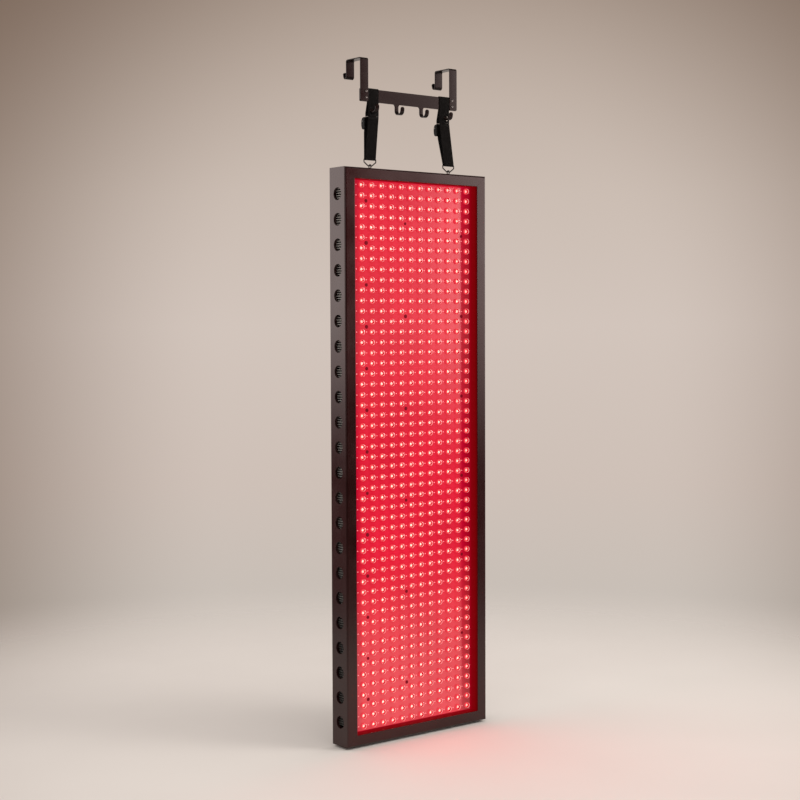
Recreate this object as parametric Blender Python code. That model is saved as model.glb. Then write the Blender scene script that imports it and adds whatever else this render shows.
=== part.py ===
"""Red light therapy panel that hangs by two webbing straps from an over-the-door rack.

Metres, +Z up, the lit front faces -Y. The origin is the middle of the door's top edge, where the
two door hooks rest: X = 0 halfway between the hooks, Y = 0 in the middle of the door's thickness.
"""
import math

import bmesh
import bpy
from mathutils import Matrix, Vector

OBJECT_NAME = "red_light_therapy_panel"

# Clearances shared by the whole object
GAP = 0.0003
OVERRUN = 0.004
MERGE_DISTANCE = 0.00001

# Over-the-door rack
DOOR_THICKNESS = 0.040
STRIP_THICKNESS = 0.002
HOOK_STRIP_WIDTH = 0.019
HOOK_CENTRE = 0.111
FRONT_LEG_DROP = 0.081
REAR_LEG_DROP = 0.0346
REAR_CURL_HEIGHT = 0.013
REAR_CURL_REACH = 0.009
REAR_CURL_LEAN = 0.0015
TOP_BEND_RADIUS = 0.003
CURL_BEND_RADIUS = 0.0045
HOOK_TIP_ROUND = 0.0035
BEND_STEPS = 3

# Flat bar with J hooks formed from its lower edge
BAR_HEIGHT = 0.0245
BAR_THICKNESS = 0.002
BAR_CORNER = 0.0025
J_COUNT = 4
J_SPACING = 0.0615
J_WIDTH = 0.009
J_DROP = 0.0207
J_REACH = 0.017
J_TIP_HEIGHT = 0.015
J_TIP_LEAN = 0.002
J_BEND_RADIUS = 0.008
J_ROOT_FLARE = 0.004
J_TIP_ROUND = 0.004
J_ROOT_OVERLAP = 0.003
J_BEND_STEPS = 4
TIP_STEPS = 3

# Screws that join each door hook to the bar
SCREW_RADIUS = 0.0016
SCREW_HEAD_RADIUS = 0.0026
SCREW_HEAD_HEIGHT = 0.0013
SCREW_INSET = 0.0037
SCREW_FROM_TOP = 0.005
SCREW_SPACING = 0.0115
SCREW_SIDES = 10

# Webbing straps
WEBBING_WIDTH = 0.025
WEBBING_THICKNESS = 0.0012
WEBBING_BEND_RADIUS = 0.0012
WRAP_BELOW_HOOK = 0.006
SLOT_MARGIN = 0.0006
SLOT_HEIGHT = 0.0092
LOOP_OPENING = 0.009
LOOP_STRAIGHT = 0.032
BACK_SWING = math.radians(2)
FOLD_STEPS = 6

# Cam buckle on the rear run of each strap
BUCKLE_HEIGHT = 0.0235
BUCKLE_BELOW_WRAP = 0.0015
BUCKLE_PLATE = 0.0015
BUCKLE_CHEEK = 0.0014
BUCKLE_SLOT_SLACK = 0.0015
BUCKLE_DEPTH = 0.0115
CAM_RADIUS = 0.0032
CAM_PIN_RADIUS = 0.0012
CAM_PIN_FROM_TOP = 0.0070
CAM_LEVER_LENGTH = 0.014
CAM_LEVER_THICKNESS = 0.0018
CAM_LEVER_LEAN = 0.003
CAM_SIDES = 12
PIN_SIDES = 8
PIN_CLEARANCE = 0.00025

# Wire triangle between strap and eye bolt
RING_WIRE_RADIUS = 0.0011
RING_HALF_WIDTH = 0.0142
RING_SHOULDER = 0.006
RING_APEX_HALF_WIDTH = 0.0045
RING_CORNER_RADIUS = 0.0022
RING_ABOVE_PANEL = 0.0196
RING_BEND_STEPS = 2

# Eye bolts on the panel's top
EYE_CENTRE = 0.0982
EYE_ABOVE_PANEL = 0.0055
EYE_RADIUS = 0.0035
EYE_WIRE_RADIUS = 0.001
EYE_FLANGE_RADIUS = 0.0042
EYE_FLANGE_HEIGHT = 0.001
EYE_STEM_RADIUS = 0.002
EYE_STEM_LENGTH = 0.0085
EYE_NUT_RADIUS = 0.004
EYE_NUT_HEIGHT = 0.0032
EYE_SIDES = 12
EYE_WIRE_SIDES = 6

# Panel frame of four mitred rails
PANEL_WIDTH = 0.352
PANEL_HEIGHT = 1.100
PANEL_DEPTH = 0.049
SIDE_BORDER = 0.023
END_BORDER = 0.021
SIDE_WALL = 0.005
END_WALL = 0.003
FRONT_WALL = 0.003
RECESS_WALL = 0.002
RAIL_EDGE_RADIUS = 0.0035
RAIL_EDGE_STEPS = 3
LIP_WIDTH = 0.006
LIP_THICKNESS = 0.0015
STRAP_DROP = 0.1329

# Round vents down both sides
VENT_COUNT = 22
VENT_RADIUS = 0.0120
VENT_TOP_MARGIN = 0.050
VENT_BOTTOM_MARGIN = 0.046
VENT_SIDES = 10

# LED field: lens sheets over boards on a heat spreader
LED_PITCH_X = 0.024
LED_PITCH_Z = 0.020
LED_EDGE_CLEARANCE = 0.001
LENS_RADIUS = 0.0060
LENS_HEIGHT = 0.0050
LENS_SIDES = 4
RECESS_DEPTH = 0.025
LENS_SHEET = 0.002
LED_BOARD = 0.0016
SPREADER = 0.0025
SECTION_COUNT = 3

# Finned heat sinks in the side channels
FINS_PER_VENT = 3
FIN_PITCH = 0.0072
FIN_THICKNESS = 0.0026
SINK_BASE = 0.0022
SINK_FRONT_CLEARANCE = 0.0006
SINK_END_MARGIN = 0.036

# Corner keys inside the mitres
KEY_LEG = 0.029
KEY_THICKNESS = 0.009

# Rear cover, fans and their guards
COVER_THICKNESS = 0.0016
FAN_COUNT = 3
FAN_SPACING = 0.360
FAN_SIZE = 0.080
FAN_DEPTH = 0.0145
FAN_CORNER = 0.005
FAN_BORE_RADIUS = 0.038
FAN_BORE_SIDES = 24
FAN_STRUT_WIDTH = 0.004
FAN_STRUT_THICKNESS = 0.002
FAN_STRUT_INSET = 0.0002
FAN_STRUT_ANCHOR = 0.0012
FAN_MOTOR_RADIUS = 0.0155
HUB_RADIUS = 0.016
HUB_HEIGHT = 0.0105
HUB_SIDES = 16
BLADE_COUNT = 7
BLADE_RADIUS = 0.0365
BLADE_THICKNESS = 0.0014
BLADE_CHORD_ROOT = 0.013
BLADE_CHORD_TIP = 0.019
BLADE_PITCH = math.radians(32)
GUARD_RINGS = 2
GUARD_SECTORS = 6
GUARD_INNER_RADIUS = 0.0135
GUARD_OUTER_RADIUS = 0.0370
GUARD_RIB = 0.0028
GUARD_ARC_STEPS = 2

# Power parts
DRIVER_WIDTH = 0.062
DRIVER_LENGTH = 0.190
DRIVER_HEIGHT = 0.0135
DRIVER_CORNER = 0.002
INLET_FROM_SIDE = 0.088
INLET_WIDTH = 0.0272
INLET_THICKNESS = 0.0198
INLET_DEPTH = 0.0176
INLET_FLANGE = 0.002
INLET_FLANGE_MARGIN = 0.0025
INLET_CAVITY_WIDTH = 0.0240
INLET_CAVITY_THICKNESS = 0.0164
INLET_CAVITY_DEPTH = 0.0165
INLET_CHAMFER = 0.0045
INLET_PIN_WIDTH = 0.002
INLET_PIN_THICKNESS = 0.004
INLET_PIN_LENGTH = 0.013
INLET_PIN_SPACING = 0.007
SWITCH_FROM_SIDE = 0.050
SWITCH_WIDTH = 0.021
SWITCH_THICKNESS = 0.015
SWITCH_DEPTH = 0.014
SWITCH_FLANGE = 0.0015
SWITCH_FLANGE_MARGIN = 0.0015
SWITCH_WALL = 0.0016
ROCKER_DEPTH = 0.0068
SWITCH_WELL_DEPTH = 0.0090
ROCKER_TILT = math.radians(9)
ROCKER_CLEARANCE = 0.0005
ROCKER_STEPS = 6
LEAD_RADIUS = 0.003
LEAD_RISE = 0.010

# Colours: base colour, roughness, metallic
BLACK_PAINT = ((0.020, 0.019, 0.018), 0.45, 0.0)
BLACK_STEEL = ((0.016, 0.015, 0.015), 0.40, 0.3)
BLACK_WEBBING = ((0.013, 0.012, 0.012), 0.85, 0.0)
BLACK_PLASTIC = ((0.018, 0.018, 0.018), 0.50, 0.0)
WIRE_STEEL = ((0.055, 0.050, 0.048), 0.35, 0.8)
ALUMINIUM = ((0.42, 0.42, 0.43), 0.40, 1.0)
RED_LENS = ((0.80, 0.030, 0.060), 0.15, 0.0)
BOARD_WHITE = ((0.75, 0.72, 0.70), 0.50, 0.0)
LEAD_BLACK = ((0.02, 0.02, 0.02), 0.60, 0.0)

# Places worked out from the sizes above
BAR_BACK_Y = -DOOR_THICKNESS / 2
BAR_Y = BAR_BACK_Y - BAR_THICKNESS / 2
BAR_FRONT_Y = BAR_BACK_Y - BAR_THICKNESS
BAR_BOTTOM_Z = -FRONT_LEG_DROP
BAR_TOP_Z = BAR_BOTTOM_Z + BAR_HEIGHT
BAR_HALF_LENGTH = HOOK_CENTRE + HOOK_STRIP_WIDTH / 2
HOOK_LEG_Y = BAR_FRONT_Y - GAP - STRIP_THICKNESS / 2
HOOK_FRONT_Y = HOOK_LEG_Y - STRIP_THICKNESS / 2
J_BOTTOM_Z = BAR_BOTTOM_Z - J_DROP
J_END_X = J_SPACING * (J_COUNT - 1) / 2

FRONT_RUN_Y = BAR_FRONT_Y - GAP - WEBBING_THICKNESS / 2
BACK_RUN_Y = BAR_BACK_Y + GAP + WEBBING_THICKNESS / 2
REAR_RUN_Y = FRONT_RUN_Y + LOOP_OPENING
WRAP_END_Z = J_BOTTOM_Z - WRAP_BELOW_HOOK
STRAP_PIVOT_Y = FRONT_RUN_Y - WEBBING_THICKNESS / 2
STRAP_TOP_Z = WRAP_END_Z - GAP
WRAP_X = HOOK_CENTRE - HOOK_STRIP_WIDTH / 2 - GAP - WEBBING_WIDTH / 2

RING_BAR_Z = BAR_TOP_Z - STRAP_DROP
PANEL_TOP_Z = RING_BAR_Z - RING_ABOVE_PANEL
PANEL_CENTRE_Z = PANEL_TOP_Z - PANEL_HEIGHT / 2
PANEL_BOTTOM_Z = PANEL_TOP_Z - PANEL_HEIGHT
EYE_Z = PANEL_TOP_Z + EYE_ABOVE_PANEL
RING_APEX_Z = EYE_Z + EYE_RADIUS - EYE_WIRE_RADIUS - RING_WIRE_RADIUS - GAP
EYE_Y = STRAP_PIVOT_Y
PANEL_FRONT_Y = EYE_Y - PANEL_DEPTH / 2
PANEL_BACK_Y = PANEL_FRONT_Y + PANEL_DEPTH

OPENING_HALF_WIDTH = PANEL_WIDTH / 2 - SIDE_BORDER
OPENING_HALF_HEIGHT = PANEL_HEIGHT / 2 - END_BORDER
LED_FIELD_HALF_WIDTH = OPENING_HALF_WIDTH - LED_EDGE_CLEARANCE - LENS_RADIUS
LED_FIELD_HALF_HEIGHT = OPENING_HALF_HEIGHT - LED_EDGE_CLEARANCE - LENS_RADIUS
LED_COLUMNS = 1 + int(2 * LED_FIELD_HALF_WIDTH / LED_PITCH_X)
LED_ROWS = 1 + int(2 * LED_FIELD_HALF_HEIGHT / LED_PITCH_Z)
INLET_X = PANEL_WIDTH / 2 - INLET_FROM_SIDE
SWITCH_X = PANEL_WIDTH / 2 - SWITCH_FROM_SIDE
LENS_SHEET_Y = PANEL_FRONT_Y + RECESS_DEPTH
BOARD_Y = LENS_SHEET_Y + LENS_SHEET + GAP
SPREADER_Y = BOARD_Y + LED_BOARD + GAP
FAN_Y = SPREADER_Y + SPREADER + GAP
COVER_Y = PANEL_BACK_Y - COVER_THICKNESS
LIP_Y = COVER_Y - GAP - LIP_THICKNESS
VENT_PITCH = (PANEL_HEIGHT - VENT_TOP_MARGIN - VENT_BOTTOM_MARGIN) / (VENT_COUNT - 1)

SPLAY = (EYE_CENTRE - WRAP_X) / (STRAP_TOP_Z - RING_BAR_Z)


def clear_scene():
    """Remove every object that the scene starts with."""
    for item in list(bpy.data.objects):
        bpy.data.objects.remove(item, do_unlink=True)


def new_collection(name):
    """Return a new collection linked to the scene."""
    collection = bpy.data.collections.new(name)
    bpy.context.scene.collection.children.link(collection)
    return collection


clear_scene()
PARTS = new_collection(OBJECT_NAME)
CUTTERS = new_collection("cutters")


def make_material(name, finish):
    """Return a Principled material named after its sub-part."""
    colour, roughness, metallic = finish
    material = bpy.data.materials.new(name)
    material.use_nodes = True
    shader = material.node_tree.nodes["Principled BSDF"]
    shader.inputs["Base Color"].default_value = (*colour, 1.0)
    shader.inputs["Roughness"].default_value = roughness
    shader.inputs["Metallic"].default_value = metallic
    return material


def add_object(name, mesh, finish, smooth=False):
    """Put a mesh in the object's collection with its own material."""
    mesh.name = name
    item = bpy.data.objects.new(name, mesh)
    PARTS.objects.link(item)
    mesh.materials.clear()
    mesh.materials.append(make_material(name, finish))
    if smooth:
        mesh.shade_smooth()
        mesh.set_sharp_from_angle(angle=math.radians(35))
    return item


def add_cutter(name, mesh):
    """Put a mesh among the cutters, hidden from renders."""
    mesh.name = name
    item = bpy.data.objects.new(name, mesh)
    CUTTERS.objects.link(item)
    item.hide_render = True
    item.display_type = 'WIRE'
    return item


def finish_mesh(shape, name):
    """Turn a bmesh into a mesh whose faces point out."""
    bmesh.ops.recalc_face_normals(shape, faces=shape.faces)
    if shape.calc_volume(signed=True) < 0:
        bmesh.ops.reverse_faces(shape, faces=shape.faces)
    mesh = bpy.data.meshes.new(name)
    shape.to_mesh(mesh)
    shape.free()
    return mesh


def add_box(shape, low, high):
    """Add a box between two corners to a bmesh."""
    low = Vector(low)
    high = Vector(high)
    size = high - low
    place = Matrix.Translation((low + high) / 2) @ Matrix.Diagonal((*size, 1.0))
    return bmesh.ops.create_cube(shape, size=1.0, matrix=place)["verts"]


def box_mesh(name, low, high):
    """Return a mesh of one box between two corners."""
    shape = bmesh.new()
    add_box(shape, low, high)
    return finish_mesh(shape, name)


def axis_turn(axis):
    """Return the rotation that takes +Z to a row axis."""
    turns = {
        "X": Matrix.Rotation(math.pi / 2, 4, 'Y'),
        "Y": Matrix.Rotation(-math.pi / 2, 4, 'X'),
        "Z": Matrix.Identity(4),
    }
    return turns[axis]


def add_cylinder(shape, centre, axis, radius, length, sides, spin=0.0, tip_radius=None):
    """Add a capped cylinder or cone, centred on a point along a row axis."""
    place = Matrix.Translation(centre) @ axis_turn(axis) @ Matrix.Rotation(spin, 4, 'Z')
    end_radius = radius if tip_radius is None else tip_radius
    bmesh.ops.create_cone(
        shape, cap_ends=True, segments=sides, radius1=radius, radius2=end_radius,
        depth=length, matrix=place)


def cylinder_mesh(name, centre, axis, radius, length, sides, spin=0.0):
    """Return a mesh of one capped cylinder."""
    shape = bmesh.new()
    add_cylinder(shape, centre, axis, radius, length, sides, spin)
    return finish_mesh(shape, name)


def prism_mesh(name, outline, start, end, place):
    """Extrude a flat outline; place(u, v, w) gives a point in space."""
    shape = bmesh.new()
    verts = [shape.verts.new(place(u, v, start)) for u, v in outline]
    face = shape.faces.new(verts)
    grown = bmesh.ops.extrude_face_region(shape, geom=[face])["geom"]
    moved = [v for v in grown if isinstance(v, bmesh.types.BMVert)]
    shift = Vector(place(0, 0, end)) - Vector(place(0, 0, start))
    bmesh.ops.translate(shape, verts=moved, vec=shift)
    return finish_mesh(shape, name)


def along_x(u, v, w):
    """Outline in Y and Z, extruded along X."""
    return (w, u, v)


def along_y(u, v, w):
    """Outline in X and Z, extruded along Y."""
    return (u, w, v)


def along_z(u, v, w):
    """Outline in X and Y, extruded along Z."""
    return (u, v, w)


def fillet_path(corners, steps=3):
    """Round the inner corners of a path: each corner is (u, v, radius)."""
    points = [Vector(corners[0][:2])]
    for before, corner, after in zip(corners, corners[1:], corners[2:]):
        middle = Vector(corner[:2])
        into = (Vector(before[:2]) - middle).normalized()
        out = (Vector(after[:2]) - middle).normalized()
        half = into.angle(out) / 2
        reach = corner[2] / math.tan(half)
        centre = middle + (into + out).normalized() * corner[2] / math.sin(half)
        first = middle + into * reach - centre
        last = middle + out * reach - centre
        turn = first.angle_signed(last)
        for step in range(steps + 1):
            angle = -turn * step / steps
            cos, sin = math.cos(angle), math.sin(angle)
            spoke = Vector((first.x * cos - first.y * sin, first.x * sin + first.y * cos))
            points.append(centre + spoke)
    points.append(Vector(corners[-1][:2]))
    return points


def strip_outline(path, thickness):
    """Give a centre line its thickness and return the closed outline."""
    left = []
    right = []
    for index, point in enumerate(path):
        before = path[max(index - 1, 0)]
        after = path[min(index + 1, len(path) - 1)]
        into = (point - before).normalized() if index else (after - point).normalized()
        out = (after - point).normalized() if index < len(path) - 1 else into
        normal_in = Vector((-into.y, into.x))
        normal_out = Vector((-out.y, out.x))
        normal = (normal_in + normal_out).normalized()
        offset = normal * thickness / 2 / normal.dot(normal_in)
        left.append(point + offset)
        right.append(point - offset)
    return left + right[::-1]


def strip_mesh(name, path, thickness, centre_x, width):
    """Bend a strip along a path in Y and Z, with its width along X."""
    outline = strip_outline(path, thickness)
    return prism_mesh(name, outline, centre_x - width / 2, centre_x + width / 2, along_x)


def boolean(item, cutter, operation, solver='EXACT'):
    """Add a Boolean modifier."""
    modifier = item.modifiers.new(f"{operation.lower()}_{cutter.name}", 'BOOLEAN')
    modifier.operation = operation
    modifier.solver = solver
    modifier.object = cutter


def cylinders_cutter(name, centres, axis, radius, length, sides, spin=0.0):
    """Make one cutter of several equal cylinders."""
    shape = bmesh.new()
    for centre in centres:
        add_cylinder(shape, centre, axis, radius, length, sides, spin)
    return add_cutter(name, finish_mesh(shape, name))


def rounded_rectangle(half_u, half_v, radius, steps):
    """Return the outline of a rectangle with rounded corners."""
    points = []
    for quarter in range(4):
        sign_u = 1 if quarter in (0, 3) else -1
        sign_v = 1 if quarter in (0, 1) else -1
        centre = Vector((sign_u * (half_u - radius), sign_v * (half_v - radius)))
        for step in range(steps + 1):
            angle = math.pi / 2 * (quarter + step / steps)
            points.append(centre + radius * Vector((math.cos(angle), math.sin(angle))))
    return points


def screw_places(side):
    """Return the centres of the two screws of one door hook."""
    x = side * (HOOK_CENTRE - SCREW_INSET)
    top_z = BAR_TOP_Z - SCREW_FROM_TOP
    return [Vector((x, BAR_Y, top_z)), Vector((x, BAR_Y, top_z - SCREW_SPACING))]


def round_tip(mesh, tip, thickness, radius):
    """Round the corners of a strip's end, seen square to its flat side."""
    shape = bmesh.new()
    shape.from_mesh(mesh)
    near = thickness * 0.6
    edges = []
    for edge in shape.edges:
        ends = [Vector((v.co.y, v.co.z)) for v in edge.verts]
        at_tip = all((end - tip).length < near for end in ends)
        across = abs(edge.verts[0].co.x - edge.verts[1].co.x) < near
        if at_tip and across:
            edges.append(edge)
    bmesh.ops.bevel(
        shape, geom=edges, offset=radius, segments=TIP_STEPS, profile=0.5, affect='EDGES')
    bpy.data.meshes.remove(mesh)
    return shape


def make_door_hook(label, side, screw_cutter):
    """A steel strip bent over the door, with a small curl at its rear end."""
    leg_back_y = DOOR_THICKNESS / 2 + STRIP_THICKNESS / 2
    curl_z = -REAR_LEG_DROP + STRIP_THICKNESS / 2
    curl_y = leg_back_y + REAR_CURL_REACH
    top_z = STRIP_THICKNESS / 2
    corners = [
        (curl_y + REAR_CURL_LEAN, curl_z + REAR_CURL_HEIGHT - STRIP_THICKNESS / 2, 0),
        (curl_y - REAR_CURL_LEAN, curl_z, CURL_BEND_RADIUS),
        (leg_back_y, curl_z, CURL_BEND_RADIUS),
        (leg_back_y, top_z, TOP_BEND_RADIUS),
        (HOOK_LEG_Y, top_z, TOP_BEND_RADIUS),
        (HOOK_LEG_Y, -FRONT_LEG_DROP, 0),
    ]
    path = fillet_path(corners, BEND_STEPS)
    name = f"{label}_door_hook"
    mesh = strip_mesh(name, path, STRIP_THICKNESS, side * HOOK_CENTRE, HOOK_STRIP_WIDTH)
    mesh = finish_mesh(round_tip(mesh, path[0], STRIP_THICKNESS, HOOK_TIP_ROUND), name)
    mesh = finish_mesh(round_tip(mesh, path[-1], STRIP_THICKNESS, HOOK_TIP_ROUND), name)
    hook = add_object(name, mesh, BLACK_STEEL)
    # The exact solver sometimes turns this bent strip inside out
    boolean(hook, screw_cutter, 'DIFFERENCE', 'MANIFOLD')
    return hook


def bar_outline():
    """Outline of the flat bar with a flare above each J hook."""
    left = -BAR_HALF_LENGTH
    right = BAR_HALF_LENGTH
    points = [(left + BAR_CORNER, BAR_TOP_Z), (left, BAR_TOP_Z - BAR_CORNER)]
    points += [(left, BAR_BOTTOM_Z + BAR_CORNER), (left + BAR_CORNER, BAR_BOTTOM_Z)]
    for index in range(J_COUNT):
        x = -J_END_X + index * J_SPACING
        half = J_WIDTH / 2
        wide = half + J_ROOT_FLARE
        points += [(x - wide, BAR_BOTTOM_Z)]
        for step in range(1, BEND_STEPS + 1):
            angle = math.pi / 2 * step / BEND_STEPS
            drop = J_ROOT_FLARE * (1 - math.cos(angle))
            points += [(x - wide + J_ROOT_FLARE * math.sin(angle), BAR_BOTTOM_Z - drop)]
        for step in range(BEND_STEPS, 0, -1):
            angle = math.pi / 2 * step / BEND_STEPS
            drop = J_ROOT_FLARE * (1 - math.cos(angle))
            points += [(x + wide - J_ROOT_FLARE * math.sin(angle), BAR_BOTTOM_Z - drop)]
        points += [(x + wide, BAR_BOTTOM_Z)]
    points += [(right - BAR_CORNER, BAR_BOTTOM_Z), (right, BAR_BOTTOM_Z + BAR_CORNER)]
    points += [(right, BAR_TOP_Z - BAR_CORNER), (right - BAR_CORNER, BAR_TOP_Z)]
    return points


def j_hook_mesh(name, x):
    """One J hook: a narrow strip bent forwards and up, with a round tip."""
    low_z = J_BOTTOM_Z + BAR_THICKNESS / 2
    tip_y = BAR_Y - J_REACH
    corners = [
        (BAR_Y, BAR_BOTTOM_Z - J_ROOT_FLARE + J_ROOT_OVERLAP, 0),
        (BAR_Y, low_z, J_BEND_RADIUS),
        (tip_y, low_z, J_BEND_RADIUS),
        (tip_y - J_TIP_LEAN, J_BOTTOM_Z + J_TIP_HEIGHT, 0),
    ]
    path = fillet_path(corners, J_BEND_STEPS)
    mesh = strip_mesh(name, path, BAR_THICKNESS, x, J_WIDTH)
    return finish_mesh(round_tip(mesh, path[-1], BAR_THICKNESS, J_TIP_ROUND), name)


def make_hook_bar(screw_cutter):
    """The flat bar, its J hooks and its screw holes, as one piece."""
    mesh = prism_mesh("hook_bar", bar_outline(), BAR_FRONT_Y, BAR_BACK_Y, along_y)
    bar = add_object("hook_bar", mesh, BLACK_STEEL)
    for index in range(J_COUNT):
        x = -J_END_X + index * J_SPACING
        name = f"j_hook_{index + 1}"
        boolean(bar, add_cutter(name, j_hook_mesh(name, x)), 'UNION')
    boolean(bar, screw_cutter, 'DIFFERENCE')
    return bar


def make_screw(name, centre):
    """A round-headed screw through the door hook and the bar."""
    head_back = HOOK_FRONT_Y - GAP
    head_middle = head_back - SCREW_HEAD_HEIGHT / 2
    shape = bmesh.new()
    add_cylinder(
        shape, (centre.x, head_middle, centre.z), "Y", SCREW_HEAD_RADIUS * 0.6,
        SCREW_HEAD_HEIGHT, SCREW_SIDES, tip_radius=SCREW_HEAD_RADIUS)
    screw = add_object(name, finish_mesh(shape, name), WIRE_STEEL)
    start = head_middle
    stem = cylinder_mesh(
        f"{name}_stem", (centre.x, (start + BAR_BACK_Y) / 2, centre.z), "Y", SCREW_RADIUS,
        BAR_BACK_Y - start, SCREW_SIDES)
    boolean(screw, add_cutter(f"{name}_stem", stem), 'UNION')
    return screw


def make_strap_wrap(label, side):
    """The top of the webbing, folded over the bar and slotted round the end hook."""
    top_z = BAR_TOP_Z + GAP + WEBBING_THICKNESS / 2
    reach = REAR_RUN_Y + WEBBING_THICKNESS / 2 - STRAP_PIVOT_Y
    rear_end_z = WRAP_END_Z + reach * math.sin(BACK_SWING)
    corners = [
        (FRONT_RUN_Y, WRAP_END_Z, 0),
        (FRONT_RUN_Y, top_z, WEBBING_BEND_RADIUS),
        (BACK_RUN_Y, top_z, WEBBING_BEND_RADIUS),
        (BACK_RUN_Y, BAR_BOTTOM_Z, WEBBING_BEND_RADIUS),
        (REAR_RUN_Y, WRAP_END_Z + WRAP_BELOW_HOOK, WEBBING_BEND_RADIUS),
        (REAR_RUN_Y, rear_end_z, 0),
    ]
    name = f"{label}_strap_wrap"
    path = fillet_path(corners, steps=2)
    mesh = strip_mesh(name, path, WEBBING_THICKNESS, side * WRAP_X, WEBBING_WIDTH)
    wrap = add_object(name, mesh, BLACK_WEBBING)
    slot_low = J_BOTTOM_Z - SLOT_MARGIN
    half = J_WIDTH / 2 + SLOT_MARGIN
    hook_x = side * J_END_X
    slot = box_mesh(
        f"{name}_slot",
        (hook_x - half, FRONT_RUN_Y - OVERRUN, slot_low),
        (hook_x + half, BAR_FRONT_Y, slot_low + SLOT_HEIGHT))
    boolean(wrap, add_cutter(f"{name}_slot", slot), 'DIFFERENCE')
    return wrap


def splay_mesh(mesh, side):
    """Lean a strap outwards as it goes down, from the bar to its eye bolt."""
    for vert in mesh.vertices:
        vert.co.x += side * SPLAY * (STRAP_TOP_Z - vert.co.z)


def make_strap(label, side):
    """The hanging loop of webbing, folded round the wire triangle's top bar."""
    fold = RING_WIRE_RADIUS + GAP + WEBBING_THICKNESS / 2
    front_y = EYE_Y - fold
    back_y = EYE_Y + fold
    path = [Vector((FRONT_RUN_Y, STRAP_TOP_Z)), Vector((front_y, RING_BAR_Z))]
    for step in range(1, FOLD_STEPS):
        angle = math.pi + math.pi * step / FOLD_STEPS
        path.append(Vector((EYE_Y + fold * math.cos(angle), RING_BAR_Z + fold * math.sin(angle))))
    path.append(Vector((back_y, RING_BAR_Z)))
    path.append(Vector((REAR_RUN_Y, STRAP_TOP_Z - LOOP_STRAIGHT)))
    path.append(Vector((REAR_RUN_Y, STRAP_TOP_Z)))
    name = f"{label}_strap"
    mesh = strip_mesh(name, path, WEBBING_THICKNESS, side * WRAP_X, WEBBING_WIDTH)
    splay_mesh(mesh, side)
    return add_object(name, mesh, BLACK_WEBBING)


def buckle_centre_x(side):
    """Return the strap's X at the buckle's middle height."""
    drop = BUCKLE_BELOW_WRAP + BUCKLE_HEIGHT / 2
    return side * (WRAP_X + SPLAY * drop)


def make_buckle(label, side):
    """A cam buckle: a U-shaped body, a sprung cam lever and its pin."""
    x = buckle_centre_x(side)
    top_z = STRAP_TOP_Z - BUCKLE_BELOW_WRAP
    low_z = top_z - BUCKLE_HEIGHT
    plate_back = REAR_RUN_Y - WEBBING_THICKNESS / 2 - GAP
    plate_front = plate_back - BUCKLE_PLATE
    inner = WEBBING_WIDTH / 2 + BUCKLE_SLOT_SLACK
    outer = inner + BUCKLE_CHEEK
    rear = plate_back + BUCKLE_DEPTH
    outline = [
        (x - outer, plate_front), (x + outer, plate_front), (x + outer, rear), (x + inner, rear),
        (x + inner, plate_back), (x - inner, plate_back), (x - inner, rear), (x - outer, rear)]
    name = f"{label}_buckle"
    body = add_object(name, prism_mesh(name, outline, low_z, top_z, along_z), BLACK_STEEL)
    webbing_back = REAR_RUN_Y + WEBBING_THICKNESS / 2
    pin_y = webbing_back + GAP + CAM_RADIUS
    pin_z = top_z - CAM_PIN_FROM_TOP
    bore = cylinder_mesh(
        f"{name}_bore", (x, pin_y, pin_z), "X", CAM_PIN_RADIUS + PIN_CLEARANCE,
        2 * outer + OVERRUN, PIN_SIDES)
    bore_cutter = add_cutter(f"{name}_bore", bore)
    boolean(body, bore_cutter, 'DIFFERENCE')
    pin_mesh = cylinder_mesh(
        f"{name}_pin", (x, pin_y, pin_z), "X", CAM_PIN_RADIUS, 2 * outer, PIN_SIDES)
    pin = add_object(f"{name}_pin", pin_mesh, WIRE_STEEL, smooth=True)

    cam_half = inner - GAP
    cam_name = f"{name}_cam"
    roller = cylinder_mesh(cam_name, (0.0, 0.0, 0.0), "X", CAM_RADIUS, 2 * cam_half, CAM_SIDES)
    cam = add_object(cam_name, roller, BLACK_STEEL, smooth=True)
    cam.location = (x, pin_y, pin_z)
    lever_end_z = pin_z - CAM_LEVER_LENGTH
    near_y = pin_y + CAM_RADIUS - CAM_LEVER_THICKNESS
    lever = [
        (near_y, pin_z), (near_y + CAM_LEVER_LEAN, lever_end_z),
        (near_y + CAM_LEVER_LEAN + CAM_LEVER_THICKNESS, lever_end_z),
        (near_y + CAM_LEVER_THICKNESS - PIN_CLEARANCE, pin_z)]
    lever_half = cam_half - GAP
    lever_mesh = prism_mesh(f"{cam_name}_lever", lever, x - lever_half, x + lever_half, along_x)
    boolean(cam, add_cutter(f"{cam_name}_lever", lever_mesh), 'UNION')
    boolean(cam, bore_cutter, 'DIFFERENCE')
    return body, cam, pin


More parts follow.
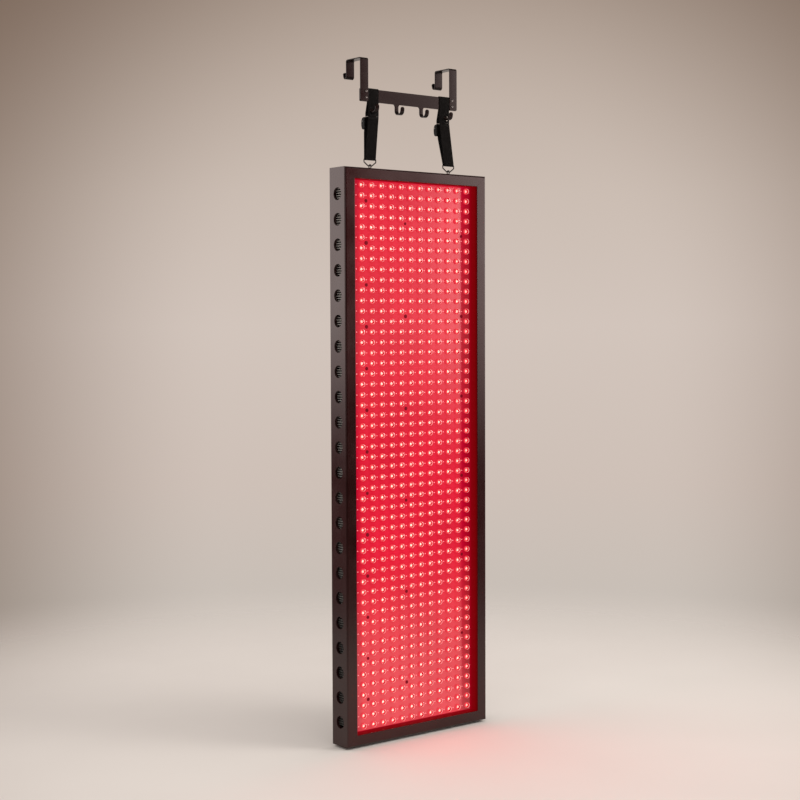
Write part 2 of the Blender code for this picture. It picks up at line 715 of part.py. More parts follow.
def make_ring(label, side):
    """A triangle of steel wire that joins the strap to the eye bolt."""
    x = side * EYE_CENTRE
    shoulder_z = RING_BAR_Z - RING_SHOULDER
    corners = [
        (0.0, RING_BAR_Z, 0),
        (RING_HALF_WIDTH, RING_BAR_Z, RING_CORNER_RADIUS),
        (RING_HALF_WIDTH, shoulder_z, RING_CORNER_RADIUS),
        (RING_APEX_HALF_WIDTH, RING_APEX_Z, RING_CORNER_RADIUS / 2),
        (0.0, RING_APEX_Z, 0),
    ]
    half = fillet_path(corners, RING_BEND_STEPS)
    points = half + [Vector((-point.x, point.y)) for point in half[-2:0:-1]]
    curve = bpy.data.curves.new(f"{label}_ring_curve", 'CURVE')
    curve.dimensions = '3D'
    curve.bevel_depth = RING_WIRE_RADIUS
    curve.bevel_resolution = 1
    spline = curve.splines.new('POLY')
    spline.points.add(len(points) - 1)
    for knot, point in zip(spline.points, points):
        knot.co = (x + point.x, EYE_Y, point.y, 1.0)
    spline.use_cyclic_u = True
    name = f"{label}_ring"
    return add_object(name, curve_mesh(curve, name), WIRE_STEEL, smooth=True)


def curve_mesh(curve, name):
    """Make a curve into a welded mesh and remove the curve."""
    holder = bpy.data.objects.new(f"{name}_curve", curve)
    PARTS.objects.link(holder)
    bpy.context.view_layer.update()
    graph = bpy.context.evaluated_depsgraph_get()
    mesh = bpy.data.meshes.new_from_object(holder.evaluated_get(graph), depsgraph=graph)
    bpy.data.objects.remove(holder, do_unlink=True)
    shape = bmesh.new()
    shape.from_mesh(mesh)
    bmesh.ops.remove_doubles(shape, verts=shape.verts, dist=MERGE_DISTANCE)
    bpy.data.meshes.remove(mesh)
    return finish_mesh(shape, name)


def make_eye_bolt(label, side):
    """An eye bolt through the top rail, with its nut inside."""
    x = side * EYE_CENTRE
    name = f"{label}_eye_bolt"
    shape = bmesh.new()
    add_torus(shape, Vector((x, EYE_Y, EYE_Z)), EYE_RADIUS, EYE_WIRE_RADIUS)
    bolt = add_object(name, finish_mesh(shape, name), WIRE_STEEL, smooth=True)
    flange_low = PANEL_TOP_Z + GAP
    shape = bmesh.new()
    middle = flange_low + EYE_FLANGE_HEIGHT / 2
    add_cylinder(shape, (x, EYE_Y, middle), "Z", EYE_FLANGE_RADIUS, EYE_FLANGE_HEIGHT, EYE_SIDES)
    flange = add_cutter(f"{name}_flange", finish_mesh(shape, f"{name}_flange"))
    boolean(bolt, flange, 'UNION')
    stem_top = EYE_Z - EYE_RADIUS
    stem_low = PANEL_TOP_Z - EYE_STEM_LENGTH
    stem = cylinder_mesh(
        f"{name}_stem", (x, EYE_Y, (stem_top + stem_low) / 2), "Z", EYE_STEM_RADIUS,
        stem_top - stem_low, EYE_SIDES)
    boolean(bolt, add_cutter(f"{name}_stem", stem), 'UNION')

    nut_top = PANEL_TOP_Z - END_WALL - GAP
    nut_name = f"{label}_eye_nut"
    nut_mesh = cylinder_mesh(
        nut_name, (x, EYE_Y, nut_top - EYE_NUT_HEIGHT / 2), "Z", EYE_NUT_RADIUS, EYE_NUT_HEIGHT, 6)
    nut = add_object(nut_name, nut_mesh, WIRE_STEEL)
    hole = cylinder_mesh(
        f"{nut_name}_hole", (x, EYE_Y, nut_top - EYE_NUT_HEIGHT / 2), "Z",
        EYE_STEM_RADIUS + GAP, EYE_NUT_HEIGHT + OVERRUN, EYE_SIDES)
    boolean(nut, add_cutter(f"{nut_name}_hole", hole), 'DIFFERENCE')
    return [bolt, nut]


def add_torus(shape, centre, radius, wire_radius):
    """Add a ring that lies in the YZ plane, as a circle spun about X."""
    place = Matrix.Translation(centre + Vector((0, radius, 0)))
    circle = bmesh.ops.create_circle(
        shape, cap_ends=False, segments=EYE_WIRE_SIDES, radius=wire_radius, matrix=place)["verts"]
    edges = list({edge for vert in circle for edge in vert.link_edges})
    bmesh.ops.spin(
        shape, geom=edges, cent=centre, axis=(1, 0, 0), angle=math.tau,
        steps=EYE_SIDES, use_merge=True, use_duplicate=False)
    bmesh.ops.remove_doubles(shape, verts=shape.verts, dist=MERGE_DISTANCE)


def rail_section(border, wall):
    """Cross-section of a rail: u runs in from the outer face, v back from the front face."""
    depth = PANEL_DEPTH
    recess_end = SPREADER_Y + SPREADER - PANEL_FRONT_Y
    lip_low = LIP_Y - PANEL_FRONT_Y
    lip_high = lip_low + LIP_THICKNESS
    points = [(0.0, depth)]
    for step in range(RAIL_EDGE_STEPS + 1):
        angle = math.pi / 2 * step / RAIL_EDGE_STEPS
        u = RAIL_EDGE_RADIUS * (1 - math.cos(angle))
        v = RAIL_EDGE_RADIUS * (1 - math.sin(angle))
        points.append((u, v))
    points += [(border, 0.0), (border, recess_end), (border - RECESS_WALL, recess_end)]
    points += [(border - RECESS_WALL, FRONT_WALL), (wall, FRONT_WALL), (wall, lip_low)]
    points += [(wall + LIP_WIDTH, lip_low), (wall + LIP_WIDTH, lip_high), (wall, lip_high)]
    points += [(wall, depth)]
    return points


def mitred_rail_mesh(name, section, half_length, slope, place):
    """Sweep a rail section between its two mitre planes."""
    shape = bmesh.new()
    ring = []
    for u, v in section:
        reach = half_length - slope * u - GAP / 2
        ring.append(shape.verts.new(place(u, v, -reach)))
    face = shape.faces.new(ring)
    grown = bmesh.ops.extrude_face_region(shape, geom=[face])["geom"]
    for vert in grown:
        if isinstance(vert, bmesh.types.BMVert):
            start = Vector(vert.co)
            vert.co = place_mirror(start, place)
    return finish_mesh(shape, name)


def place_mirror(point, place):
    """Mirror a rail's end point to the rail's other end."""
    middle = Vector(place(0.0, 0.0, 0.0))
    along = (Vector(place(0.0, 0.0, 1.0)) - middle).normalized()
    return point - 2 * (point - middle).dot(along) * along


def make_side_rail(label, side):
    """A side rail with its row of round vents."""
    def place(u, v, w):
        return (side * (PANEL_WIDTH / 2 - u), PANEL_FRONT_Y + v, PANEL_CENTRE_Z + w)

    name = f"{label}_rail"
    section = rail_section(SIDE_BORDER, SIDE_WALL)
    mesh = mitred_rail_mesh(name, section, PANEL_HEIGHT / 2, END_BORDER / SIDE_BORDER, place)
    rail = add_object(name, mesh, BLACK_PAINT)
    centres = []
    for index in range(VENT_COUNT):
        z = PANEL_TOP_Z - VENT_TOP_MARGIN - index * VENT_PITCH
        centres.append((side * (PANEL_WIDTH / 2 - SIDE_WALL / 2), EYE_Y, z))
    cutter = cylinders_cutter(
        f"{name}_vents", centres, "X", VENT_RADIUS, SIDE_WALL + OVERRUN, VENT_SIDES)
    boolean(rail, cutter, 'DIFFERENCE')
    return rail


def make_end_rail(label, side, cutters):
    """The top or bottom rail, with what is cut through its outer wall."""
    def place(u, v, w):
        return (w, PANEL_FRONT_Y + v, PANEL_CENTRE_Z + side * (PANEL_HEIGHT / 2 - u))

    name = f"{label}_rail"
    section = rail_section(END_BORDER, END_WALL)
    mesh = mitred_rail_mesh(name, section, PANEL_WIDTH / 2, SIDE_BORDER / END_BORDER, place)
    rail = add_object(name, mesh, BLACK_PAINT)
    for cutter in cutters:
        boolean(rail, cutter, 'DIFFERENCE')
    return rail


def eye_bolt_cutter():
    """Holes for the two eye bolts in the top rail."""
    centres = []
    for side in (-1, 1):
        centres.append((side * EYE_CENTRE, EYE_Y, PANEL_TOP_Z - END_WALL / 2))
    return cylinders_cutter(
        "eye_bolt_holes", centres, "Z", EYE_STEM_RADIUS + GAP, END_WALL + OVERRUN, EYE_SIDES)


def make_corner_key(name, side_x, side_z):
    """An L-shaped block that holds two rails together inside their mitre."""
    outer_x = PANEL_WIDTH / 2 - SIDE_WALL - GAP
    outer_z = PANEL_HEIGHT / 2 - END_WALL - GAP
    thick = KEY_THICKNESS
    outline = [
        (outer_x, outer_z), (outer_x - KEY_LEG, outer_z), (outer_x - KEY_LEG, outer_z - thick),
        (outer_x - thick, outer_z - thick), (outer_x - thick, outer_z - KEY_LEG),
        (outer_x, outer_z - KEY_LEG)]
    points = [(side_x * u, PANEL_CENTRE_Z + side_z * v) for u, v in outline]
    low = PANEL_FRONT_Y + FRONT_WALL + GAP
    high = LIP_Y - GAP
    return add_object(name, prism_mesh(name, points, low, high, along_y), ALUMINIUM)


def section_rows(index):
    """Return the first row and the number of rows of one LED section."""
    base = LED_ROWS // SECTION_COUNT
    extra = LED_ROWS % SECTION_COUNT
    first = index * base + min(index, extra)
    count = base + (1 if index < extra else 0)
    return first, count


def section_bounds(index):
    """Return the low and high Z of one LED section."""
    first, count = section_rows(index)
    top_row = PANEL_CENTRE_Z + LED_PITCH_Z * (LED_ROWS - 1) / 2
    high = top_row - (first - 0.5) * LED_PITCH_Z - GAP / 2
    low = top_row - (first + count - 0.5) * LED_PITCH_Z + GAP / 2
    if index == 0:
        high = PANEL_CENTRE_Z + OPENING_HALF_HEIGHT - GAP
    if index == SECTION_COUNT - 1:
        low = PANEL_CENTRE_Z - OPENING_HALF_HEIGHT + GAP
    return low, high


def make_lens_sheet(index):
    """A clear sheet moulded with a small pointed dome over each LED."""
    low, high = section_bounds(index)
    half = OPENING_HALF_WIDTH - GAP
    first, count = section_rows(index)
    top_row = PANEL_CENTRE_Z + LED_PITCH_Z * (LED_ROWS - 1) / 2
    shape = bmesh.new()
    corners = [(-half, low), (half, low), (half, high), (-half, high)]
    rim = [shape.verts.new((x, LENS_SHEET_Y, z)) for x, z in corners]
    edges = [shape.edges.new((rim[i], rim[(i + 1) % 4])) for i in range(4)]
    rim_edges = list(edges)
    for row in range(first, first + count):
        z = top_row - row * LED_PITCH_Z
        for column in range(LED_COLUMNS):
            x = (column - (LED_COLUMNS - 1) / 2) * LED_PITCH_X
            place = Matrix.Translation((x, LENS_SHEET_Y - LENS_HEIGHT / 2, z)) @ axis_turn("Y")
            verts = bmesh.ops.create_cone(
                shape, cap_ends=False, segments=LENS_SIDES, radius1=0.0, radius2=LENS_RADIUS,
                depth=LENS_HEIGHT, matrix=place)["verts"]
            base = [v for v in verts if v.co.y > LENS_SHEET_Y - LENS_HEIGHT / 4]
            edges += [e for v in base for e in v.link_edges if all(end in base for end in e.verts)]
    bmesh.ops.remove_doubles(shape, verts=shape.verts, dist=MERGE_DISTANCE)
    edges = [edge for edge in shape.edges if edge.is_boundary or edge.is_wire]
    bmesh.ops.triangle_fill(shape, use_beauty=True, use_dissolve=False, edges=edges)
    rim_edges = [edge for edge in shape.edges if edge.is_boundary]
    grown = bmesh.ops.extrude_edge_only(shape, edges=rim_edges)["geom"]
    moved = [v for v in grown if isinstance(v, bmesh.types.BMVert)]
    bmesh.ops.translate(shape, verts=moved, vec=(0, LENS_SHEET, 0))
    bmesh.ops.contextual_create(shape, geom=moved)
    name = f"lens_sheet_{index + 1}"
    return add_object(name, finish_mesh(shape, name), RED_LENS)


def make_led_board(index):
    """The board that carries the LEDs of one section."""
    low, high = section_bounds(index)
    half = OPENING_HALF_WIDTH - GAP
    name = f"led_board_{index + 1}"
    mesh = box_mesh(name, (-half, BOARD_Y, low), (half, BOARD_Y + LED_BOARD, high))
    return add_object(name, mesh, BOARD_WHITE)


def make_spreader():
    """The aluminium plate behind the boards."""
    half_x = OPENING_HALF_WIDTH - GAP
    half_z = OPENING_HALF_HEIGHT - GAP
    mesh = box_mesh(
        "heat_spreader",
        (-half_x, SPREADER_Y, PANEL_CENTRE_Z - half_z),
        (half_x, SPREADER_Y + SPREADER, PANEL_CENTRE_Z + half_z))
    return add_object("heat_spreader", mesh, ALUMINIUM)


def make_heat_sink(label, side):
    """A comb of level fins in the side channel, a group of fins behind each vent."""
    outer = PANEL_WIDTH / 2 - SIDE_WALL - GAP
    root = PANEL_WIDTH / 2 - SIDE_BORDER + RECESS_WALL + GAP + SINK_BASE
    back = PANEL_WIDTH / 2 - SIDE_BORDER + RECESS_WALL + GAP
    top = PANEL_TOP_Z - SINK_END_MARGIN
    low = PANEL_BOTTOM_Z + SINK_END_MARGIN
    points = [(back, low), (back, top), (root, top)]
    for index in range(VENT_COUNT):
        vent_z = PANEL_TOP_Z - VENT_TOP_MARGIN - index * VENT_PITCH
        for fin in range(FINS_PER_VENT):
            z = vent_z + ((FINS_PER_VENT - 1) / 2 - fin) * FIN_PITCH
            points += [(root, z + FIN_THICKNESS / 2), (outer, z + FIN_THICKNESS / 2)]
            points += [(outer, z - FIN_THICKNESS / 2), (root, z - FIN_THICKNESS / 2)]
    points.append((root, low))
    outline = [(side * x, z) for x, z in points]
    front_y = PANEL_FRONT_Y + FRONT_WALL + SINK_FRONT_CLEARANCE
    back_y = LIP_Y - GAP
    name = f"{label}_heat_sink"
    return add_object(name, prism_mesh(name, outline, front_y, back_y, along_y), ALUMINIUM)


def fan_heights():
    """Return the Z of each fan, from the top down."""
    span = FAN_SPACING * (FAN_COUNT - 1) / 2
    return [PANEL_CENTRE_Z + span - index * FAN_SPACING for index in range(FAN_COUNT)]


def make_fan(index, z):
    """A slim axial fan: a square frame with struts, and a bladed rotor."""
    name = f"fan_{index + 1}_frame"
    back_y = COVER_Y - GAP
    front_y = back_y - FAN_DEPTH
    half = FAN_SIZE / 2
    outline = [(p.x, z + p.y) for p in rounded_rectangle(half, half, FAN_CORNER, 2)]
    frame = add_object(name, prism_mesh(name, outline, front_y, back_y, along_y), BLACK_PLASTIC)
    middle = (0.0, (front_y + back_y) / 2, z)
    bore = cylinder_mesh(
        f"{name}_bore", middle, "Y", FAN_BORE_RADIUS, FAN_DEPTH + OVERRUN, FAN_BORE_SIDES)
    boolean(frame, add_cutter(f"{name}_bore", bore), 'DIFFERENCE')
    strut_low = front_y
    strut_high = front_y + FAN_STRUT_THICKNESS
    reach = FAN_BORE_RADIUS + FAN_STRUT_ANCHOR
    motor = cylinder_mesh(
        f"{name}_motor", (0.0, (strut_low + strut_high) / 2, z), "Y", FAN_MOTOR_RADIUS,
        FAN_STRUT_THICKNESS, HUB_SIDES)
    motor_cutter = add_cutter(f"{name}_motor", motor)
    wide = FAN_STRUT_WIDTH / 2
    low, high = strut_low + FAN_STRUT_INSET, strut_high - FAN_STRUT_INSET
    level = box_mesh(f"{name}_strut_x", (-reach, low, z - wide), (reach, high, z + wide))
    upright = box_mesh(f"{name}_strut_z", (-wide, low, z - reach), (wide, high, z + reach))
    boolean(frame, add_cutter(f"{name}_strut_x", level), 'UNION')
    boolean(frame, add_cutter(f"{name}_strut_z", upright), 'UNION')
    boolean(frame, motor_cutter, 'UNION')

    rotor_name = f"fan_{index + 1}_rotor"
    hub_front = strut_high + GAP
    hub_middle = hub_front + HUB_HEIGHT / 2
    shape = bmesh.new()
    add_cylinder(shape, (0.0, 0.0, 0.0), "Y", HUB_RADIUS, HUB_HEIGHT, HUB_SIDES)
    rotor = add_object(rotor_name, finish_mesh(shape, rotor_name), BLACK_PLASTIC)
    rotor.location = (0.0, hub_middle, z)
    blades = bmesh.new()
    for turn in range(BLADE_COUNT):
        add_blade(blades, math.tau * turn / BLADE_COUNT)
    cutter = add_cutter(f"{rotor_name}_blades", finish_mesh(blades, f"{rotor_name}_blades"))
    cutter.location = rotor.location
    boolean(rotor, cutter, 'UNION')
    return [frame, rotor]


def add_blade(shape, angle):
    """Add one twisted blade between the hub and the tip circle."""
    root = HUB_RADIUS * 0.85
    rings = []
    for radius, chord, pitch in ((root, BLADE_CHORD_ROOT, BLADE_PITCH * 1.2),
                                 (BLADE_RADIUS, BLADE_CHORD_TIP, BLADE_PITCH)):
        run = chord / 2 * math.cos(pitch)
        rise = min(chord / 2 * math.sin(pitch), HUB_HEIGHT / 2 - BLADE_THICKNESS / 2)
        half = BLADE_THICKNESS / 2
        rings.append([(-run, -rise - half), (run, rise - half), (run, rise + half), (-run, -rise + half)])
    turn = Matrix.Rotation(angle, 4, 'Y')
    verts = []
    for radius, ring in zip((root, BLADE_RADIUS), rings):
        for across, depth in ring:
            out = math.sqrt(radius * radius - across * across)
            verts.append(shape.verts.new(turn @ Vector((across, depth, out))))
    inner, outer = verts[:4], verts[4:]
    shape.faces.new(inner)
    shape.faces.new(outer[::-1])
    for i in range(4):
        j = (i + 1) % 4
        shape.faces.new((inner[i], outer[i], outer[j], inner[j]))


def guard_slots(z):
    """Return the outlines of one fan guard's slots, as rings of sectors."""
    slots = []
    span = (GUARD_OUTER_RADIUS - GUARD_INNER_RADIUS + GUARD_RIB) / GUARD_RINGS
    for ring in range(GUARD_RINGS):
        inner = GUARD_INNER_RADIUS + ring * span
        outer = inner + span - GUARD_RIB
        for sector in range(GUARD_SECTORS):
            start = math.tau * sector / GUARD_SECTORS
            end = math.tau * (sector + 1) / GUARD_SECTORS
            points = []
            for radius, first, last in ((inner, start, end), (outer, end, start)):
                trim = math.asin(GUARD_RIB / 2 / radius)
                sign = 1 if last > first else -1
                low, high = first + sign * trim, last - sign * trim
                for step in range(GUARD_ARC_STEPS + 1):
                    angle = low + (high - low) * step / GUARD_ARC_STEPS
                    points.append((radius * math.cos(angle), z + radius * math.sin(angle)))
            slots.append(points)
    return slots


def pierced_plate_mesh(name, outline, holes, low_y, high_y):
    """Return a flat plate across Y with openings through it."""
    shape = bmesh.new()
    for loop in [outline] + holes:
        verts = [shape.verts.new((x, low_y, z)) for x, z in loop]
        for index, vert in enumerate(verts):
            shape.edges.new((vert, verts[(index + 1) % len(verts)]))
    edges = list(shape.edges)
    bmesh.ops.triangle_fill(shape, use_beauty=True, use_dissolve=False, edges=edges)
    grown = bmesh.ops.extrude_face_region(shape, geom=list(shape.faces))["geom"]
    moved = [v for v in grown if isinstance(v, bmesh.types.BMVert)]
    bmesh.ops.translate(shape, verts=moved, vec=(0, high_y - low_y, 0))
    return finish_mesh(shape, name)


def make_rear_cover():
    """The flat rear cover, slotted over each fan."""
    half_x = PANEL_WIDTH / 2 - SIDE_WALL - GAP
    half_z = PANEL_HEIGHT / 2 - END_WALL - GAP
    low, high = PANEL_CENTRE_Z - half_z, PANEL_CENTRE_Z + half_z
    outline = [(-half_x, low), (half_x, low), (half_x, high), (-half_x, high)]
    holes = []
    for z in fan_heights():
        holes += guard_slots(z)
    mesh = pierced_plate_mesh("rear_cover", outline, holes, COVER_Y, PANEL_BACK_Y)
    return add_object("rear_cover", mesh, BLACK_PAINT)


def driver_heights():
    """Return the Z of each LED driver, between the fans."""
    fans = fan_heights()
    return [(above + below) / 2 for above, below in zip(fans, fans[1:])]


def make_driver(index, z):
    """An LED driver in its aluminium case."""
    name = f"led_driver_{index + 1}"
    outline = [(p.x, z + p.y) for p in
               rounded_rectangle(DRIVER_WIDTH / 2, DRIVER_LENGTH / 2, DRIVER_CORNER, 1)]
    return add_object(name, prism_mesh(name, outline, FAN_Y, FAN_Y + DRIVER_HEIGHT, along_y), ALUMINIUM)


def chamfered_slot(half_u, half_v, chamfer):
    """Outline of the inlet's cavity: a rectangle with two corners cut off."""
    return [(-half_u, -half_v), (half_u, -half_v), (half_u, half_v - chamfer),
            (half_u - chamfer, half_v), (-half_u + chamfer, half_v), (-half_u, half_v - chamfer)]


def end_cutter(name, x, half_x, half_y):
    """A box cutter through the bottom rail's outer wall."""
    low = PANEL_BOTTOM_Z - OVERRUN
    high = PANEL_BOTTOM_Z + END_WALL + OVERRUN
    mesh = box_mesh(name, (x - half_x, EYE_Y - half_y, low), (x + half_x, EYE_Y + half_y, high))
    return add_cutter(name, mesh)


def make_inlet():
    """The mains inlet under the bottom rail: shroud, cavity and three blades."""
    half_x, half_y = INLET_WIDTH / 2, INLET_THICKNESS / 2
    face_z = PANEL_BOTTOM_Z - GAP - INLET_FLANGE
    top_z = face_z + INLET_FLANGE + INLET_DEPTH
    mesh = box_mesh(
        "mains_inlet", (INLET_X - half_x, EYE_Y - half_y, face_z + INLET_FLANGE / 2),
        (INLET_X + half_x, EYE_Y + half_y, top_z))
    inlet = add_object("mains_inlet", mesh, BLACK_PLASTIC)
    margin = INLET_FLANGE_MARGIN
    flange = box_mesh(
        "mains_inlet_flange", (INLET_X - half_x - margin, EYE_Y - half_y - margin, face_z),
        (INLET_X + half_x + margin, EYE_Y + half_y + margin, face_z + INLET_FLANGE))
    boolean(inlet, add_cutter("mains_inlet_flange", flange), 'UNION')
    outline = chamfered_slot(INLET_CAVITY_WIDTH / 2, INLET_CAVITY_THICKNESS / 2, INLET_CHAMFER)
    outline = [(INLET_X + u, EYE_Y + v) for u, v in outline]
    floor_z = face_z + INLET_CAVITY_DEPTH
    cavity = prism_mesh("mains_inlet_cavity", outline, face_z - OVERRUN, floor_z, along_z)
    boolean(inlet, add_cutter("mains_inlet_cavity", cavity), 'DIFFERENCE')
    shape = bmesh.new()
    for step in (-1, 0, 1):
        x = INLET_X + step * INLET_PIN_SPACING
        y = EYE_Y + (INLET_PIN_THICKNESS / 2 if step == 0 else -INLET_PIN_THICKNESS / 4)
        add_box(
            shape, (x - INLET_PIN_WIDTH / 2, y - INLET_PIN_THICKNESS / 2, floor_z - INLET_PIN_LENGTH),
            (x + INLET_PIN_WIDTH / 2, y + INLET_PIN_THICKNESS / 2, floor_z + INLET_PIN_WIDTH / 4))
    pins = add_cutter("mains_inlet_pins", finish_mesh(shape, "mains_inlet_pins"))
    boolean(inlet, pins, 'UNION')
    return inlet


def make_switch():
    """A rocker switch beside the inlet: its housing and its rocker."""
    half_x, half_y = SWITCH_WIDTH / 2, SWITCH_THICKNESS / 2
    face_z = PANEL_BOTTOM_Z - GAP - SWITCH_FLANGE
    top_z = face_z + SWITCH_FLANGE + SWITCH_DEPTH
    mesh = box_mesh(
        "switch_housing", (SWITCH_X - half_x, EYE_Y - half_y, face_z + SWITCH_FLANGE / 2),
        (SWITCH_X + half_x, EYE_Y + half_y, top_z))
    housing = add_object("switch_housing", mesh, BLACK_PLASTIC)
    margin = SWITCH_FLANGE_MARGIN
    flange = box_mesh(
        "switch_flange", (SWITCH_X - half_x - margin, EYE_Y - half_y - margin, face_z),
        (SWITCH_X + half_x + margin, EYE_Y + half_y + margin, face_z + SWITCH_FLANGE))
    boolean(housing, add_cutter("switch_flange", flange), 'UNION')
    inner_x, inner_y = half_x - SWITCH_WALL, half_y - SWITCH_WALL
    well = box_mesh(
        "switch_well", (SWITCH_X - inner_x, EYE_Y - inner_y, face_z - OVERRUN),
        (SWITCH_X + inner_x, EYE_Y + inner_y, face_z + SWITCH_WELL_DEPTH))
    boolean(housing, add_cutter("switch_well", well), 'DIFFERENCE')

    reach = inner_x - ROCKER_CLEARANCE
    lift = reach * math.sin(ROCKER_TILT)
    outline = [(-reach, -lift), (0.0, 0.0), (reach, -lift)]
    for step in range(ROCKER_STEPS + 1):
        angle = math.pi * step / ROCKER_STEPS
        outline.append((reach * math.cos(angle), ROCKER_CLEARANCE + ROCKER_DEPTH * math.sin(angle)))
    low, high = EYE_Y - inner_y + ROCKER_CLEARANCE, EYE_Y + inner_y - ROCKER_CLEARANCE
    mesh = prism_mesh("switch_rocker", outline, low - EYE_Y, high - EYE_Y, along_y)
    rocker = add_object("switch_rocker", mesh, BLACK_PLASTIC)
    rocker.location = (SWITCH_X, EYE_Y, face_z + ROCKER_CLEARANCE)
    rocker.rotation_euler = (0.0, ROCKER_TILT, 0.0)
    return [housing, rocker]


def tube(name, points, radius, finish):
    """A round lead along a smooth route."""
    curve = bpy.data.curves.new(f"{name}_route", 'CURVE')
    curve.dimensions = '3D'
    curve.bevel_depth = radius
    curve.bevel_resolution = 1
    curve.use_fill_caps = True
    spline = curve.splines.new('POLY')
    spline.points.add(len(points) - 1)
    for knot, point in zip(spline.points, points):
        knot.co = (*point, 1.0)
    return add_object(name, curve_mesh(curve, name), finish, smooth=True)


def make_leads():
    """The leads that run behind the boards, from the inlet to the drivers."""
    lead_y = FAN_Y + LEAD_RADIUS + GAP
    upper, lower = driver_heights()
    half = DRIVER_LENGTH / 2
    inlet_back = EYE_Y + INLET_THICKNESS / 2 + GAP
    start_z = PANEL_BOTTOM_Z + END_WALL + LEAD_RISE
    y = max(lead_y, inlet_back + 2 * LEAD_RADIUS)
    goal_z = lower - half - GAP
    side_x = FAN_SIZE / 2 + 3 * LEAD_RADIUS
    low_fan = fan_heights()[-1]
    route = [
        (INLET_X, inlet_back, start_z), (INLET_X, y, start_z),
        (INLET_X, y, start_z + 3 * LEAD_RISE), (side_x, y, low_fan - FAN_SIZE / 2),
        (side_x, y, low_fan + FAN_SIZE / 2), (DRIVER_WIDTH / 4, y, goal_z - LEAD_RISE),
        (DRIVER_WIDTH / 4, y, goal_z)]
    mains_lead = tube("mains_lead", route, LEAD_RADIUS, LEAD_BLACK)
    fan_z = fan_heights()[1]
    top = upper - half - GAP
    low = lower + half + GAP
    route = [
        (DRIVER_WIDTH / 4, y, low), (DRIVER_WIDTH / 4, y, low + LEAD_RISE),
        (side_x, y, fan_z - FAN_SIZE / 2), (side_x, y, fan_z + FAN_SIZE / 2),
        (DRIVER_WIDTH / 4, y, top - LEAD_RISE), (DRIVER_WIDTH / 4, y, top)]
    driver_lead = tube("driver_lead", route, LEAD_RADIUS, LEAD_BLACK)
    return [mains_lead, driver_lead]


def pivot_empty(name, place, parent=None):
    """Return an empty on a joint's axis."""
    empty = bpy.data.objects.new(name, None)
    PARTS.objects.link(empty)
    empty.location = place
    if parent:
        empty.parent = parent
        empty.location = Vector(place) - parent_place(parent)
    return empty


def parent_place(item):
    """Return the place of an empty and the empties that carry it."""
    place = Vector(item.location)
    while item.parent:
        item = item.parent
        place += item.location
    return place


def hang_on(empty, items):
    """Parent pieces to an empty and leave them where they are."""
    place = parent_place(empty)
    for item in items:
        item.parent = empty
        item.location = item.location - place


def build_rack():
    """The rack: two door hooks screwed to the bar."""
    places = [centre for side in (-1, 1) for centre in screw_places(side)]
    screw_cutter = cylinders_cutter(
        "screw_holes", places, "Y", SCREW_RADIUS + GAP,
        BAR_THICKNESS + STRIP_THICKNESS + 2 * OVERRUN, SCREW_SIDES)
    make_hook_bar(screw_cutter)
    for label, side in (("left", -1), ("right", 1)):
        make_door_hook(label, side, screw_cutter)
        for height, centre in zip(("upper", "lower"), screw_places(side)):
            make_screw(f"{label}_{height}_screw", centre)
        make_strap_wrap(label, side)


def build_suspension():
    """The straps, buckles and wire triangles; returns the left triangle's pivot."""
    pivots = {}
    for label, side in (("left", -1), ("right", 1)):
        strap = make_strap(label, side)
        body, cam, pin = make_buckle(label, side)
        ring = make_ring(label, side)
        strap_pivot = pivot_empty(
            f"{label}_strap_pivot", (side * WRAP_X, STRAP_PIVOT_Y, WRAP_END_Z))
        hang_on(strap_pivot, [strap, body, cam, pin])
        ring_pivot = pivot_empty(
            f"{label}_ring_pivot", (side * EYE_CENTRE, EYE_Y, RING_BAR_Z), strap_pivot)
        hang_on(ring_pivot, [ring])
        pivots[label] = ring_pivot
    return pivots["left"]


def build_panel():
    """The panel: frame, LED field, cooling and power parts."""
    pieces = []
    for label, side in (("left", -1), ("right", 1)):
        pieces += make_eye_bolt(label, side)
        pieces.append(make_side_rail(label, side))
        pieces.append(make_heat_sink(label, side))
        pieces.append(make_corner_key(f"{label}_top_key", side, 1))
        pieces.append(make_corner_key(f"{label}_bottom_key", side, -1))
    pieces.append(make_end_rail("top", 1, [eye_bolt_cutter()]))
    inlet_hole = end_cutter(
        "inlet_hole", INLET_X, INLET_WIDTH / 2 + GAP, INLET_THICKNESS / 2 + GAP)
    switch_hole = end_cutter(
        "switch_hole", SWITCH_X, SWITCH_WIDTH / 2 + GAP, SWITCH_THICKNESS / 2 + GAP)
    pieces.append(make_end_rail("bottom", -1, [inlet_hole, switch_hole]))
    for index in range(SECTION_COUNT):
        pieces.append(make_lens_sheet(index))
        pieces.append(make_led_board(index))
    pieces.append(make_spreader())
    for index, z in enumerate(fan_heights()):
        pieces += make_fan(index, z)
    for index, z in enumerate(driver_heights()):
        pieces.append(make_driver(index, z))
    pieces.append(make_rear_cover())
    pieces.append(make_inlet())
    pieces += make_switch()
    pieces += make_leads()
    return pieces


def build():
    """Model the whole object."""
    build_rack()
    ring_pivot = build_suspension()
    panel_pivot = pivot_empty("panel_pivot", (-EYE_CENTRE, EYE_Y, RING_APEX_Z), ring_pivot)
    hang_on(panel_pivot, build_panel())


build()
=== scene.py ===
# %% [markdown]
# # A red light therapy panel hung from an over-door rack
# The object is a tall black housing with 689 red lamps in 53 rows of 13. It hangs by two webbing
# straps from a bent steel rack with four small hooks. Every piece below sits in the same frame as
# the CAD model: metres, with X to the right, Y away from the viewer and Z up, and the origin under
# the rack's top plates. The first step loads that frame, so nothing has to be fitted later.

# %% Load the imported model
import math
import bmesh
import bpy
from mathutils import Matrix, Vector


